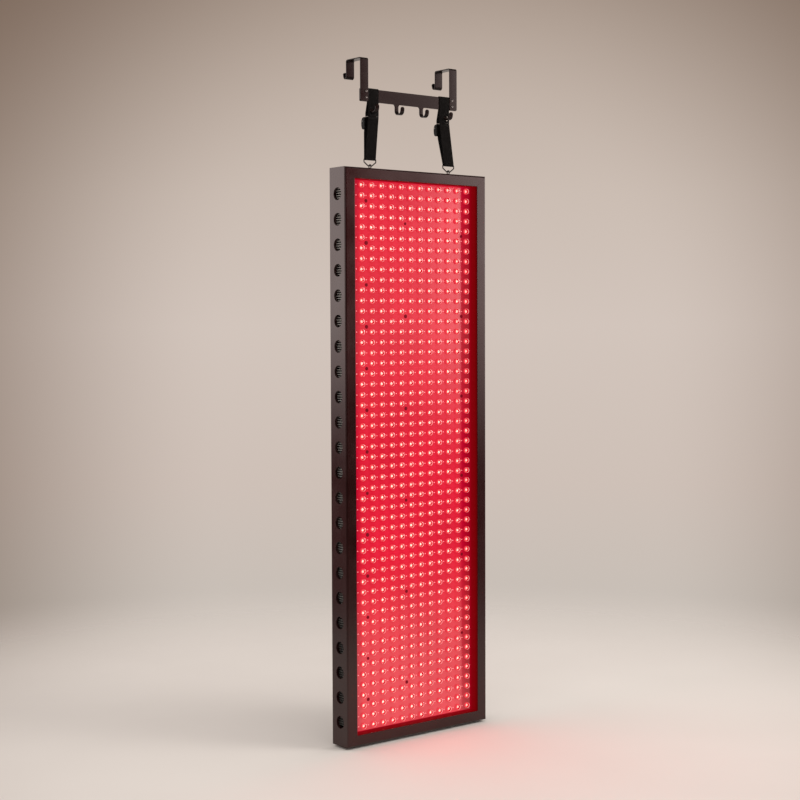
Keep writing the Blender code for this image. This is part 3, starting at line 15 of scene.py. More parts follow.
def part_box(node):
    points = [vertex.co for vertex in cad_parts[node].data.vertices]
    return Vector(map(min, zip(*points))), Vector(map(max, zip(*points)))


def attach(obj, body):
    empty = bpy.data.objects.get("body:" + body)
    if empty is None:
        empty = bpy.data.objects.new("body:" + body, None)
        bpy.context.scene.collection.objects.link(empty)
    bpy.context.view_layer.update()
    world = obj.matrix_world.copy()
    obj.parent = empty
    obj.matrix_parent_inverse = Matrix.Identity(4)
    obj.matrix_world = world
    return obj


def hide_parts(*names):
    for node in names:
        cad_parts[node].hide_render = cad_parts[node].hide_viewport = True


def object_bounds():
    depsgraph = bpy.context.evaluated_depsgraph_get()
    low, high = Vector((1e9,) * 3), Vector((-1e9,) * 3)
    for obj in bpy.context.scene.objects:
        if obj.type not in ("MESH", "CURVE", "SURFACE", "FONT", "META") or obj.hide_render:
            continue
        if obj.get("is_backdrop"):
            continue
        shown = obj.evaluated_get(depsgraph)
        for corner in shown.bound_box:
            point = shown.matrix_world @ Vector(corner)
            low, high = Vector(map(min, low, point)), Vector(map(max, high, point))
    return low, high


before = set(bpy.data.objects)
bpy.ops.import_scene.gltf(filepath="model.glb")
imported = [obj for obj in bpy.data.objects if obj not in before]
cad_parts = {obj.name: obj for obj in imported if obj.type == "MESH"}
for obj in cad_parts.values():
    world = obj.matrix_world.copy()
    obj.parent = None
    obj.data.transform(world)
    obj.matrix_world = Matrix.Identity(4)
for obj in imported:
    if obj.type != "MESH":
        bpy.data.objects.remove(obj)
cad_low, cad_high = (tuple(corner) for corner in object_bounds())
print("CAD box", [round(v, 4) for v in cad_low], [round(v, 4) for v in cad_high])

# %% [markdown]
# ## The sizes that several pieces share
# A real maker works from one drawing. These values are that drawing: the housing, the lamp grid
# and the straps all read them, so a lamp can't drift off its board or a strap off its bolt.

# %% Sizes of the housing and the lamp grid
HALF_WIDTH, HALF_HEIGHT = 0.176, 0.550
FRONT_Y, BACK_Y = -0.048, 0.001
MIDDLE_Y, MIDDLE_Z = -0.0235, -0.759
SIDE_BORDER, END_BORDER = 0.023, 0.021
SIDE_WALL, END_WALL = 0.005, 0.003
COLUMNS, ROWS = 13, 53
PITCH_X, PITCH_Z = 0.024, 0.020
FIELD_Y = -0.023
TOP_Z, BOTTOM_Z = MIDDLE_Z + HALF_HEIGHT, MIDDLE_Z - HALF_HEIGHT
print("housing", 2 * HALF_WIDTH, "by", 2 * HALF_HEIGHT, "lamps", COLUMNS * ROWS)

# %% [markdown]
# The photograph is taken from the front left, a little above the middle of the panel, with a long
# lens that keeps the upright edges nearly parallel. The angles, the place and the lens come from a
# fit to the corners of the housing and the grid of lamps. The camera's axes are built from the
# angles as three vectors, which is clearer than a chain of Euler turns when there is a small roll.

# %% Place the camera at the photograph's angle
YAW, PITCH, ROLL = math.radians(38.755), math.radians(2.693), math.radians(-0.214)
ahead = Vector((math.sin(YAW) * math.cos(PITCH), math.cos(YAW) * math.cos(PITCH), -math.sin(PITCH)))
level = Vector((math.cos(YAW), -math.sin(YAW), 0.0))
over = level.cross(ahead)
right = math.cos(ROLL) * level + math.sin(ROLL) * over
above = -math.sin(ROLL) * level + math.cos(ROLL) * over
camera = bpy.data.objects.new("camera", bpy.data.cameras.new("camera"))
bpy.context.scene.collection.objects.link(camera)
turn = Matrix((right, above, -ahead)).transposed().to_4x4()
camera.matrix_world = Matrix.Translation((-1.9447, -2.4128, -0.5077)) @ turn
camera.data.lens = 70.79
camera.data.sensor_width = 36.0
bpy.context.scene.camera = camera
bpy.context.scene.view_settings.view_transform = 'Standard'
print("camera at", [round(v, 3) for v in camera.location])

# %% [markdown]
# ## Node trees in a few words
# Every finish below is a tree of nodes. Adding a node, filling its sockets and linking it takes
# several lines each time, so small helpers do that: a plain value is set in a socket, and another
# node's output is linked to it. With them a finish reads like the recipe that it is.

# %% Helpers for node trees
def fill(tree, node, sockets):
    """Fill sockets: a plain value is set, and another node's output is linked."""
    for key, value in sockets.items():
        if isinstance(value, bpy.types.NodeSocket):
            tree.links.new(value, node.inputs[key])
        else:
            node.inputs[key].default_value = value


def add_node(tree, kind, sockets=None, **settings):
    """Add a node with its settings and fill its sockets."""
    node = tree.nodes.new(kind)
    for key, value in settings.items():
        setattr(node, key, value)
    fill(tree, node, sockets or {})
    return node


def maths(tree, operation, *amounts):
    """One step of arithmetic on numbers."""
    return add_node(tree, 'ShaderNodeMath', dict(enumerate(amounts)), operation=operation).outputs[0]


def vector_maths(tree, operation, *amounts, result="Vector"):
    """One step of arithmetic on vectors or colours."""
    step = add_node(tree, 'ShaderNodeVectorMath', dict(enumerate(amounts)), operation=operation)
    return step.outputs[result]


def noise(tree, place, scale, detail=2):
    """A smooth noise over a place."""
    sockets = {"Vector": place, "Scale": scale, "Detail": detail}
    return add_node(tree, 'ShaderNodeTexNoise', sockets).outputs["Fac"]


def brought(tree, value, low, high, to_low=0.0, to_high=1.0, easing='LINEAR'):
    """A value brought from one range to another."""
    sockets = {"Value": value, "From Min": low, "From Max": high, "To Min": to_low, "To Max": to_high}
    return add_node(tree, 'ShaderNodeMapRange', sockets, interpolation_type=easing).outputs["Result"]


def coloured(tree, value, stops):
    """Colours along a value from 0 to 1, given as (position, colour) stops."""
    scale = add_node(tree, 'ShaderNodeValToRGB', {"Fac": value})
    ends = scale.color_ramp.elements
    ends[0].position, ends[0].color = stops[0][0], (*stops[0][1], 1)
    ends[1].position, ends[1].color = stops[-1][0], (*stops[-1][1], 1)
    for position, colour in stops[1:-1]:
        ends.new(position).color = (*colour, 1)
    return scale.outputs["Color"]


def colours_over(tree, value, low, high, stops):
    """Colours along a value between two limits."""
    return coloured(tree, brought(tree, value, low, high), stops)


def mixed(tree, factor, first, second):
    """One colour passing into another."""
    sockets = {"Factor": factor, "A": first, "B": second}
    return add_node(tree, 'ShaderNodeMix', sockets, data_type='RGBA').outputs["Result"]


def new_finish(name):
    """A new material, with its tree and its shader."""
    finish = bpy.data.materials.new(name)
    finish.use_nodes = True
    return finish, finish.node_tree, finish.node_tree.nodes["Principled BSDF"]


def adjust(finish, sockets):
    """Fill sockets of a finish's shader."""
    fill(finish.node_tree, finish.node_tree.nodes["Principled BSDF"], sockets)


# %% [markdown]
# ## Finishes: how a surface gets its detail
# A painted or moulded surface is never one colour. Its shade drifts over centimetres, its gloss
# changes where hands have wiped it, and its skin has a fine grain. One helper makes such a finish
# from two noises, a broad one for shade and gloss and a fine one for the grain. The noises read
# object coordinates in metres, so the same finish has the same grain on every piece.

# %% A helper for worked surfaces
def worked_finish(name, dark, light, gloss, grain, depth, metal=0.0, stretch=(1, 1, 1), broad=14):
    """A finish with drifting shade, uneven gloss and a fine grain."""
    finish, tree, shader = new_finish(name)
    place = add_node(tree, 'ShaderNodeTexCoord').outputs["Object"]
    spread = add_node(tree, 'ShaderNodeMapping', {"Vector": place, "Scale": stretch}).outputs["Vector"]
    drift = noise(tree, spread, broad, 5)
    skin = noise(tree, spread, grain, 3)
    relief = add_node(tree, 'ShaderNodeBump', {"Height": skin, "Distance": depth, "Strength": 0.6})
    fill(tree, shader, {"Base Color": coloured(tree, drift, ((0.32, dark), (0.68, light))),
                        "Roughness": brought(tree, drift, 0.3, 0.7, *gloss),
                        "Metallic": metal, "Normal": relief.outputs["Normal"]})
    return finish


def darker_below(finish, low, high, faint):
    """Let a finish grow darker from one height down to another."""
    tree = finish.node_tree
    place = tree.nodes["Texture Coordinate"].outputs["Object"]
    height = add_node(tree, 'ShaderNodeSeparateXYZ', {"Vector": place}).outputs["Z"]
    colour = tree.nodes["Principled BSDF"].inputs["Base Color"].links[0].from_socket
    sockets = {0: colour, "Scale": brought(tree, height, low, high, faint)}
    product = add_node(tree, 'ShaderNodeVectorMath', sockets, operation='SCALE')
    adjust(finish, {"Base Color": product.outputs["Vector"]})


# %% [markdown]
# ### Painted steel, plated steel, aluminium and mouldings
# The housing is sprayed satin black with a warm cast, and shows a fine orange-peel skin. The rack's
# strip steel has a thinner, browner coat with long rolling marks, so its noise is stretched along
# one axis. Screws are zinc-plated and pale. The wire triangles and eye bolts have a dark plating.
# The fins' colour is painted darker towards the bottom, a painted shade where less of the room's light
# reaches them.

# %% The hard finishes
PAINT = worked_finish("housing_paint", (0.014, 0.0038, 0.0036), (0.021, 0.0062, 0.0058),
                      (0.13, 0.20), 900, 0.000010)
STRIP = worked_finish("strip_steel_coat", (0.0065, 0.0032, 0.0026), (0.012, 0.0066, 0.0056),
                      (0.16, 0.26), 1500, 0.000006, stretch=(0.2, 1, 1), broad=40)
PLATED = worked_finish("zinc_plating", (0.34, 0.33, 0.31), (0.50, 0.48, 0.45),
                       (0.22, 0.38), 2500, 0.00001, metal=1.0, broad=300)
WIRE = worked_finish("dark_wire_plating", (0.035, 0.030, 0.028), (0.085, 0.075, 0.070),
                     (0.16, 0.28), 2500, 0.00001, metal=1.0, broad=260)
FIN_METAL = worked_finish("fin_aluminium", (0.52, 0.49, 0.46), (0.70, 0.67, 0.63),
                          (0.45, 0.6), 700, 0.00002, stretch=(1, 0.1, 1), broad=60)
ALLOY = worked_finish("milled_aluminium", (0.38, 0.38, 0.385), (0.52, 0.52, 0.53),
                      (0.30, 0.45), 900, 0.00002, metal=1.0)
MOULDED = worked_finish("moulded_black", (0.012, 0.012, 0.012), (0.022, 0.021, 0.021),
                        (0.38, 0.52), 1800, 0.00005, broad=50)
ROCKER = worked_finish("rocker_moulding", (0.020, 0.019, 0.018), (0.030, 0.029, 0.028),
                       (0.22, 0.32), 2600, 0.00002, broad=80)
RUBBER = worked_finish("lead_jacket", (0.014, 0.014, 0.014), (0.026, 0.025, 0.025),
                       (0.5, 0.65), 1200, 0.00004, broad=90)
BUCKLE = worked_finish("buckle_coat", (0.004, 0.0034, 0.0030), (0.008, 0.0066, 0.0058),
                       (0.4, 0.55), 1800, 0.00002, broad=60)
for dull, amount in ((BUCKLE, 0.1), (STRIP, 0.24), (MOULDED, 0.4)):
    adjust(dull, {"Specular IOR Level": amount})
for coat in (PAINT, STRIP):
    adjust(coat, {"Specular Tint": (1.0, 0.82, 0.80, 1)})
# Painted shade: the fins' colour darkens towards the bottom.
darker_below(FIN_METAL, -1.15, -0.45, 0.16)
print("hard finishes", len(bpy.data.materials))

# %% [markdown]
# ## Solid forms: rounding, shading and handing a piece over
# Real edges are never sharp: they carry a small radius that catches the light. The helper below
# bevels every edge that turns by more than a set angle. Weighted normals then keep the large flat
# faces flat, so a bevelled box doesn't look inflated. Another helper hands the finished mesh to
# the frame: it rides on a body, gets its finish and hides the CAD solids that it stands for.

# %% Helpers for rounding and handing over
def round_edges(shape, width, segments=2, angle=32):
    """Bevel the edges that turn by more than the angle."""
    bmesh.ops.recalc_face_normals(shape, faces=shape.faces)
    keen = [e for e in shape.edges if e.is_manifold and e.calc_face_angle(0.0) > math.radians(angle)]
    bmesh.ops.bevel(shape, geom=keen, offset=width, segments=segments, profile=0.6,
                    affect='EDGES', clamp_overlap=True)


def shown(name, data):
    """A new object in the scene for a mesh or a lamp."""
    item = bpy.data.objects.new(name, data)
    bpy.context.scene.collection.objects.link(item)
    return item


def modified(name, mesh, kind, **settings):
    """Run one modifier on a mesh and return the result."""
    holder = shown(name + "_holder", mesh)
    step = holder.modifiers.new("step", kind)
    for key, value in settings.items():
        setattr(step, key, value)
    graph = bpy.context.evaluated_depsgraph_get()
    result = bpy.data.meshes.new_from_object(holder.evaluated_get(graph), depsgraph=graph)
    bpy.data.objects.remove(holder)
    result.name = name
    return result


def plain_mesh(name, shape):
    """A mesh straight from a form."""
    bmesh.ops.recalc_face_normals(shape, faces=shape.faces)
    mesh = bpy.data.meshes.new(name)
    shape.to_mesh(mesh)
    shape.free()
    return mesh


def settle(name, shape, angle=40):
    """Turn a form into a smooth-shaded mesh with flat faces kept flat."""
    mesh = plain_mesh(name, shape)
    mesh.polygons.foreach_set("use_smooth", [True] * len(mesh.polygons))
    mesh.set_sharp_from_angle(angle=math.radians(angle))
    return modified(name, mesh, 'WEIGHTED_NORMAL', keep_sharp=True, weight=80)


def reshaded(name, mesh, angle=35):
    """Shade a cut mesh smooth again, with its flat faces kept flat."""
    shape = bmesh.new()
    shape.from_mesh(mesh)
    return settle(name, shape, angle)


def cut_from(name, mesh, cutter):
    """Cut one mesh with another and return the result."""
    tool = shown(name + "_tool", cutter)
    result = modified(name, mesh, 'BOOLEAN', object=tool, operation='DIFFERENCE', solver='EXACT')
    bpy.data.objects.remove(tool)
    return result


def hand_over(name, mesh, finish, body, stands_for=()):
    """Place a finished mesh as a piece that rides on a body."""
    if finish is not None:
        mesh.materials.clear()
        mesh.materials.append(finish)
    piece = shown(name, mesh)
    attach(piece, body)
    if stands_for:
        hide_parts(*stands_for)
    print(name, "faces", len(mesh.polygons))
    return piece


def dress(name, form, finish, body, stands_for=(), angle=40):
    """Shade a form and hand it over."""
    return hand_over(name, settle(name, form, angle), finish, body, stands_for)


# %% [markdown]
# ## Routes, strips, tubes and turned parts
# Most of this object is bent strip: the door hooks, the J hooks and the webbing. Such a piece is
# a route with rounded corners, and a section that is carried along it. The section here is a
# rectangle with rounded long edges. Wire is the same idea with a round section, and screw heads
# and bolts are profiles turned about an axis.

# %% A route with rounded corners
def bend(corners, steps=8):
    """Round the corners of a route given as (across, up, radius)."""
    route = [Vector(corners[0][:2])]
    for before, here, after in zip(corners, corners[1:], corners[2:]):
        start, corner, end = Vector(before[:2]), Vector(here[:2]), Vector(after[:2])
        into, away = (start - corner).normalized(), (end - corner).normalized()
        half = into.angle(away) / 2
        centre = corner + (into + away).normalized() * (here[2] / math.sin(half))
        first = corner + into * (here[2] / math.tan(half)) - centre
        last = corner + away * (here[2] / math.tan(half)) - centre
        begin = math.atan2(first.y, first.x)
        sweep = (math.atan2(last.y, last.x) - begin + math.pi) % math.tau - math.pi
        for step in range(steps + 1):
            angle = begin + sweep * step / steps
            route.append(centre + here[2] * Vector((math.cos(angle), math.sin(angle))))
    route.append(Vector(corners[-1][:2]))
    return route


# %% A flat strip carried along a route
def strip_section(half_width, half_thick, edge):
    """A rectangle with rounded corners, as (across, out) points."""
    points = []
    for corner_x, corner_n, start in ((1, 1, 0), (-1, 1, 1), (-1, -1, 2), (1, -1, 3)):
        for step in range(3):
            angle = math.pi / 2 * (start + step / 2)
            points.append((corner_x * (half_width - edge) + edge * math.cos(angle),
                           corner_n * (half_thick - edge) + edge * math.sin(angle)))
    return points


def with_round_end(route, radius, at_end):
    """Add stations near an end, each with the width that its round tip leaves."""
    stations = [(p, None) for p in route]
    if not radius:
        return stations
    tip, inner = (route[-1], route[-2]) if at_end else (route[0], route[1])
    back = (inner - tip).normalized()
    added = []
    for step in range(7):
        angle = math.radians(6 + 14 * step)
        added.append((tip + back * radius * (1 - math.cos(angle)), radius * (1 - math.sin(angle))))
    return stations[:-1] + added[::-1] if at_end else added + stations[1:]


def strip_form(route, thickness, centre_x, width, tips=(0, 0), lean=0.0, lean_from=0.0):
    """Carry a flat section along a route in the YZ plane; tips are end radii."""
    stations = with_round_end(route, tips[0], False)
    tail = with_round_end([p for p, _ in stations[-2:]], tips[1], True) if tips[1] else stations[-2:]
    stations = stations[:-2] + tail
    shape = bmesh.new()
    sheet = shape.loops.layers.uv.new("UVMap")
    rings, run, along = [], 0.0, []
    for index, (point, less) in enumerate(stations):
        before = stations[max(index - 1, 0)][0]
        after = stations[min(index + 1, len(stations) - 1)][0]
        if index:
            run += (point - before).length
        along.append(run)
        travel = (after - before).normalized()
        out = Vector((-travel.y, travel.x))
        into = (point - before).normalized() if index else travel
        mitre = 1.0 / max(0.5, abs(into.dot(travel)))
        half = width / 2 - (less or 0.0)
        ring = []
        for across, deep in strip_section(half, thickness / 2, min(thickness * 0.3, half * 0.9)):
            spot = point + out * deep * mitre
            x = centre_x + across + lean * max(0.0, lean_from - spot.y)
            ring.append(shape.verts.new((x, spot.x, spot.y)))
        rings.append(ring)
    count = len(rings[0])
    offsets = [a for a, _ in strip_section(width / 2, thickness / 2, thickness * 0.3)]
    for index in range(len(rings) - 1):
        for side in range(count):
            other = (side + 1) % count
            face = shape.faces.new((rings[index][side], rings[index][other],
                                    rings[index + 1][other], rings[index + 1][side]))
            marks = ((offsets[side], along[index]), (offsets[other], along[index]),
                     (offsets[other], along[index + 1]), (offsets[side], along[index + 1]))
            for loop, mark in zip(face.loops, marks):
                loop[sheet].uv = mark
    for ring, order in ((rings[0], -1), (rings[-1], 1)):
        shape.faces.new(ring[::order])
    return shape


# %% Wire along a route, and turned parts
def tube_form(points, radius, sides=12, closed=False):
    """Carry a circle along points in space."""
    shape = bmesh.new()
    count = len(points)
    rings, guide = [], None
    for index, point in enumerate(points):
        before = points[index - 1] if closed or index else points[0]
        after = points[(index + 1) % count] if closed or index < count - 1 else points[-1]
        travel = (after - before).normalized()
        guide = travel.orthogonal() if guide is None else guide - travel * guide.dot(travel)
        guide.normalize()
        other = travel.cross(guide)
        rings.append([shape.verts.new(point + radius * (math.cos(a) * guide + math.sin(a) * other))
                      for a in (math.tau * side / sides for side in range(sides))])
    for index in range(count if closed else count - 1):
        near, far = rings[index], rings[(index + 1) % count]
        for side in range(sides):
            shape.faces.new((near[side], near[(side + 1) % sides], far[(side + 1) % sides], far[side]))
    if not closed:
        shape.faces.new(rings[0][::-1])
        shape.faces.new(rings[-1])
    return shape


def turned_form(profile, sides, place):
    """Turn a profile of (radius, height) about its axis, closed at both ends."""
    shape = bmesh.new()
    rings = []
    for radius, height in profile:
        if radius < 1e-7:
            rings.append([shape.verts.new(place @ Vector((0, 0, height)))])
        else:
            rim = [Vector((radius * math.cos(a), radius * math.sin(a), height))
                   for a in (math.tau * side / sides for side in range(sides))]
            rings.append([shape.verts.new(place @ spot) for spot in rim])
    for low, high in zip(rings, rings[1:]):
        for side in range(sides):
            other = (side + 1) % sides
            if len(low) == 1:
                shape.faces.new((low[0], high[other], high[side]))
            elif len(high) == 1:
                shape.faces.new((low[side], low[other], high[0]))
            else:
                shape.faces.new((low[side], low[other], high[other], high[side]))
    for ring in (rings[0], rings[-1]):
        if len(ring) > 1:
            shape.faces.new(ring)
    return shape


def slab_form(outline, low, high, axis='Y'):
    """Give a flat outline a thickness along an axis."""
    def spot(u, v, w):
        return {'X': (w, u, v), 'Y': (u, w, v), 'Z': (u, v, w)}[axis]
    shape = bmesh.new()
    near = [shape.verts.new(spot(u, v, low)) for u, v in outline]
    far = [shape.verts.new(spot(u, v, high)) for u, v in outline]
    shape.faces.new(near)
    shape.faces.new(far[::-1])
    for i in range(len(outline)):
        j = (i + 1) % len(outline)
        shape.faces.new((near[i], far[i], far[j], near[j]))
    return shape


def block_form(low, high):
    """A plain block between two corners, ready to be rounded."""
    outline = [(low[0], low[2]), (high[0], low[2]), (high[0], high[2]), (low[0], high[2])]
    return slab_form(outline, low[1], high[1])


def gathered(forms):
    """Put several separate forms into one."""
    whole = bmesh.new()
    for form in forms:
        part = bpy.data.meshes.new("part")
        form.to_mesh(part)
        form.free()
        whole.from_mesh(part)
        bpy.data.meshes.remove(part)
    return whole


def circle(radius, count, across=0.0, up=0.0):
    """Points of a circle about a place, as (across, up)."""
    return [(across + radius * math.cos(a), up + radius * math.sin(a))
            for a in (math.tau * step / count for step in range(count))]


FACING_FRONT = Matrix.Rotation(math.radians(90), 4, 'X')
FACING_BACK = Matrix.Rotation(math.radians(-90), 4, 'X')
ALONG_X = Matrix.Rotation(math.radians(90), 4, 'Y')
print("form helpers ready")

# %% [markdown]
# ## Repeats by Geometry Nodes
# 689 lamps, 228 cooling fins a side and the cover's screws are all one thing repeated on a grid.
# Copying them in a Python loop works, but a node tree says it better: lay a grid of points, put
# one pattern on each, make the copies real and give them their finish. The trees have named
# inputs, so one serves every regular repeat, and its result is kept as a plain mesh.

# %% The start and the end that every tree has
def started_tree(name, inputs):
    """A tree with named inputs: the tree, what it is given and its result."""
    tree = bpy.data.node_groups.new(name, 'GeometryNodeTree')
    tree.interface.new_socket("Geometry", in_out='INPUT', socket_type='NodeSocketGeometry')
    for label, kind in inputs:
        tree.interface.new_socket(label, in_out='INPUT', socket_type="NodeSocket" + kind)
    tree.interface.new_socket("Geometry", in_out='OUTPUT', socket_type='NodeSocketGeometry')
    return tree, add_node(tree, 'NodeGroupInput').outputs, add_node(tree, 'NodeGroupOutput')


def copies_on(tree, points, given, **more):
    """Put the given pattern on each point."""
    pattern = add_node(tree, 'GeometryNodeObjectInfo', {"Object": given["Pattern"]})
    sockets = {"Points": points, "Instance": pattern.outputs["Geometry"], **more}
    return add_node(tree, 'GeometryNodeInstanceOnPoints', sockets).outputs["Instances"]


def end_tree(tree, copies, given, result):
    """Make the copies real and give them their finish."""
    real = add_node(tree, 'GeometryNodeRealizeInstances', {"Geometry": copies})
    sockets = {"Geometry": real.outputs["Geometry"], "Material": given["Finish"]}
    coat = add_node(tree, 'GeometryNodeSetMaterial', sockets)
    fill(tree, result, {"Geometry": coat.outputs["Geometry"]})
    return tree


# %% One tree for everything that repeats on a grid
def grid_tree():
    """A tree that sets a pattern on a grid in the XZ plane."""
    tree, given, result = started_tree("pattern_on_grid", (
        ("Pattern", "Object"), ("Across", "Int"), ("Down", "Int"), ("Pitch Across", "Float"),
        ("Pitch Down", "Float"), ("Centre", "Vector"), ("Seed", "Int"), ("Finish", "Material")))
    sizes = {}
    for axis, count in (("X", "Across"), ("Y", "Down")):
        gaps = maths(tree, 'SUBTRACT', given[count], 1.0)
        sizes[f"Size {axis}"] = maths(tree, 'MULTIPLY', gaps, given["Pitch " + count])
        sizes[f"Vertices {axis}"] = given[count]
    grid = add_node(tree, 'GeometryNodeMeshGrid', sizes).outputs["Mesh"]
    sockets = {"Geometry": grid, "Rotation": (math.radians(90), 0, 0), "Translation": given["Centre"]}
    stand = add_node(tree, 'GeometryNodeTransform', sockets).outputs["Geometry"]
    chance = add_node(tree, 'FunctionNodeRandomValue', {"Seed": given["Seed"]}, data_type='FLOAT')
    sockets = {"Geometry": copies_on(tree, stand, given), "Name": "each", "Value": chance.outputs["Value"]}
    keep = add_node(tree, 'GeometryNodeStoreNamedAttribute', sockets, data_type='FLOAT', domain='INSTANCE')
    return end_tree(tree, keep.outputs["Geometry"], given, result)


def repeat(name, tree, pattern_mesh, values, places=()):
    """Run a tree on one pattern and return a plain mesh."""
    pattern = shown(name + "_pattern", pattern_mesh)
    start = bpy.data.meshes.new(name + "_start")
    start.from_pydata(list(places), [], [])
    carrier = shown(name + "_carrier", start)
    step = carrier.modifiers.new("repeat", 'NODES')
    step.node_group = tree
    values = {"Pattern": pattern, **values}
    for socket in tree.interface.items_tree:
        if socket.in_out == 'INPUT' and socket.name in values:
            step[socket.identifier] = values[socket.name]
    carrier.update_tag()
    bpy.context.view_layer.update()
    graph = bpy.context.evaluated_depsgraph_get()
    mesh = bpy.data.meshes.new_from_object(carrier.evaluated_get(graph), preserve_all_data_layers=True,
                                           depsgraph=graph)
    bpy.data.objects.remove(carrier)
    bpy.data.objects.remove(pattern)
    mesh.name = name
    print(name, "repeated, faces", len(mesh.polygons))
    return mesh


PATTERN_ON_GRID = grid_tree()


def repeat_on_grid(name, pattern_mesh, counts, pitches, centre, finish, seed=1):
    """Repeat a pattern across and down, as (across, down) counts and pitches."""
    return repeat(name, PATTERN_ON_GRID, pattern_mesh, {
        "Across": counts[0], "Down": counts[1], "Pitch Across": pitches[0], "Pitch Down": pitches[1],
        "Centre": centre, "Seed": seed, "Finish": finish})


# %% [markdown]
# ## The red field
# Behind the lamps lies a white circuit board under a clear coat. Lit by 689 red lamps it looks like
# a glowing red surface that is a little darker round each lamp, and its gloss picks up the pale
# room. So that light is painted into its finish as a glow, which depends on how far a spot is from
# the nearest lamp, with painted shade near the side walls and a painted pale reflection low down.
# That distance comes from the object coordinates: the remainder of X and Z by the lamp pitch.

# %% How far a spot is from its lamp
def lamp_distance(tree):
    """The place, its coordinates, and its distance from the nearest lamp's middle."""
    place = add_node(tree, 'ShaderNodeTexCoord').outputs["Object"]
    split = add_node(tree, 'ShaderNodeSeparateXYZ', {"Vector": place}).outputs
    offsets = {}
    for axis, goal, pitch, start in (("X", "X", PITCH_X, 0.0), ("Z", "Y", PITCH_Z, MIDDLE_Z)):
        from_edge = maths(tree, 'SUBTRACT', split[axis], start - pitch / 2)
        remainder = maths(tree, 'FLOORED_MODULO', from_edge, pitch)
        offsets[goal] = maths(tree, 'SUBTRACT', remainder, pitch / 2)
    join = add_node(tree, 'ShaderNodeCombineXYZ', offsets).outputs["Vector"]
    return place, split, vector_maths(tree, 'LENGTH', join, result="Value")


# %% The lit board's finish
def lit_board_finish():
    """A glossy red glow of painted lamp light that dips round each lamp and drifts a little."""
    finish, tree, shader = new_finish("lit_board")
    place, split, reach = lamp_distance(tree)
    # The lamps' light on the board is painted as a glow, a little lower round each lamp.
    glow = colours_over(tree, reach, 0.0045, 0.0125, (
        (0.0, (0.62, 0.007, 0.024)), (0.5, (0.65, 0.010, 0.031)), (1.0, (0.69, 0.014, 0.040))))
    # Painted shade: the glow is dimmed near the side walls, where their shadow falls.
    shaded = colours_over(tree, maths(tree, 'ABSOLUTE', split["X"]), 0.122, 0.152, (
        (0.0, (1.0, 1.0, 1.0)), (0.38, (0.66, 0.05, 0.55)), (1.0, (0.44, 0.02, 0.35))))
    # Painted reflection: a pale tint added low down, where the board mirrors the pale floor, and weakly in a
    # band higher up.
    painted_pale_reflection = colours_over(tree, split["Z"], -1.30, -0.22, (
        (0.0, (0.0, 0.046, 0.037)), (0.20, (0.0, 0.015, 0.010)), (0.32, (0.0, 0.0, 0.0)),
        (0.52, (0.0, 0.0, 0.0)), (0.72, (0.0, 0.019, 0.014)), (1.0, (0.0, 0.0, 0.0))))
    ripple = noise(tree, place, 160)
    relief = add_node(tree, 'ShaderNodeBump', {"Height": ripple, "Distance": 0.00006, "Strength": 0.3})
    fill(tree, shader, {
        "Base Color": (0.10, 0.003, 0.006, 1), "Roughness": 0.10, "IOR": 1.6,
        "Emission Color": vector_maths(tree, 'ADD', vector_maths(tree, 'MULTIPLY', glow, shaded), painted_pale_reflection),
        "Emission Strength": brought(tree, noise(tree, place, 9, 4), 0.3, 0.7, 0.92, 1.10),
        "Normal": relief.outputs["Normal"]})
    return finish


LIT_BOARD = lit_board_finish()
print("lit board", len(LIT_BOARD.node_tree.nodes), "nodes")

# %% [markdown]
# ### The three sheets of the field
# The field is made in three sections that butt against each other, so their joints hardly show.
# Each seam lies between two rows of lamps: the sections hold 18, 18 and 17 of the 53 rows.

# %% The field sheets
SHEET_HALF_WIDTH, SHEET_BACK_Y = 0.1527, -0.021
SECTIONS = (("1", -0.58902, -0.2303), ("2", -0.94898, -0.58906), ("3", -1.2877, -0.94902))
for number, low_z, high_z in SECTIONS:
    sheet_form = block_form((-SHEET_HALF_WIDTH, FIELD_Y, low_z), (SHEET_HALF_WIDTH, SHEET_BACK_Y, high_z))
    dress(f"field_sheet_{number}", sheet_form, LIT_BOARD, "panel_body", (f"lens_sheet_{number}",))

# %% [markdown]
# ### One lamp: seat, core, cup and dome
# A lamp is a red seat on the board, a core far too bright for the camera, a cup with a painted bright
# band under its lip, and a clear cap over them. The red light on seat and cup is painted on as a
# glow. The core clips to a pale cream pink in the photograph, because its red is many times over
# white while its green and blue are not. Giving it just that colour makes it look pale and still
# throw red light around. The dome is a thin clear shell, so the core is seen where it is from every
# side: against the near lip of the cup, with the dark far wall and its painted bright lip beyond it.

# %% Finishes of the lamp
CUP_HEIGHT, CUP_RADIUS = 0.0042, 0.0051


def core_finish():
    """A very strong red with some green and blue, so that it clips to a pale colour."""
    finish, tree, shader = new_finish("lamp_core")
    each = add_node(tree, 'ShaderNodeAttribute', attribute_name="each").outputs["Fac"]
    warmth = coloured(tree, each, ((0.0, (1.0, 0.085, 0.070)), (1.0, (1.0, 0.115, 0.092))))
    fill(tree, shader, {"Base Color": (0.9, 0.75, 0.6, 1), "Roughness": 0.4,
                        "Emission Color": warmth, "Emission Strength": 7.0})
    return finish


def clear_finish():
    """Clear moulded plastic seen as a thin shell."""
    finish, tree, shader = new_finish("clear_lens")
    cloud = noise(tree, add_node(tree, 'ShaderNodeTexCoord').outputs["Object"], 220)
    tint = coloured(tree, cloud, ((0.0, (1.0, 0.86, 0.86)), (1.0, (1.0, 0.95, 0.95))))
    fill(tree, shader, {"Base Color": tint, "Roughness": 0.0, "IOR": 1.01, "Transmission Weight": 1.0,
                        "Coat Weight": 1.0, "Coat Roughness": 0.05, "Coat IOR": 1.6})
    return finish


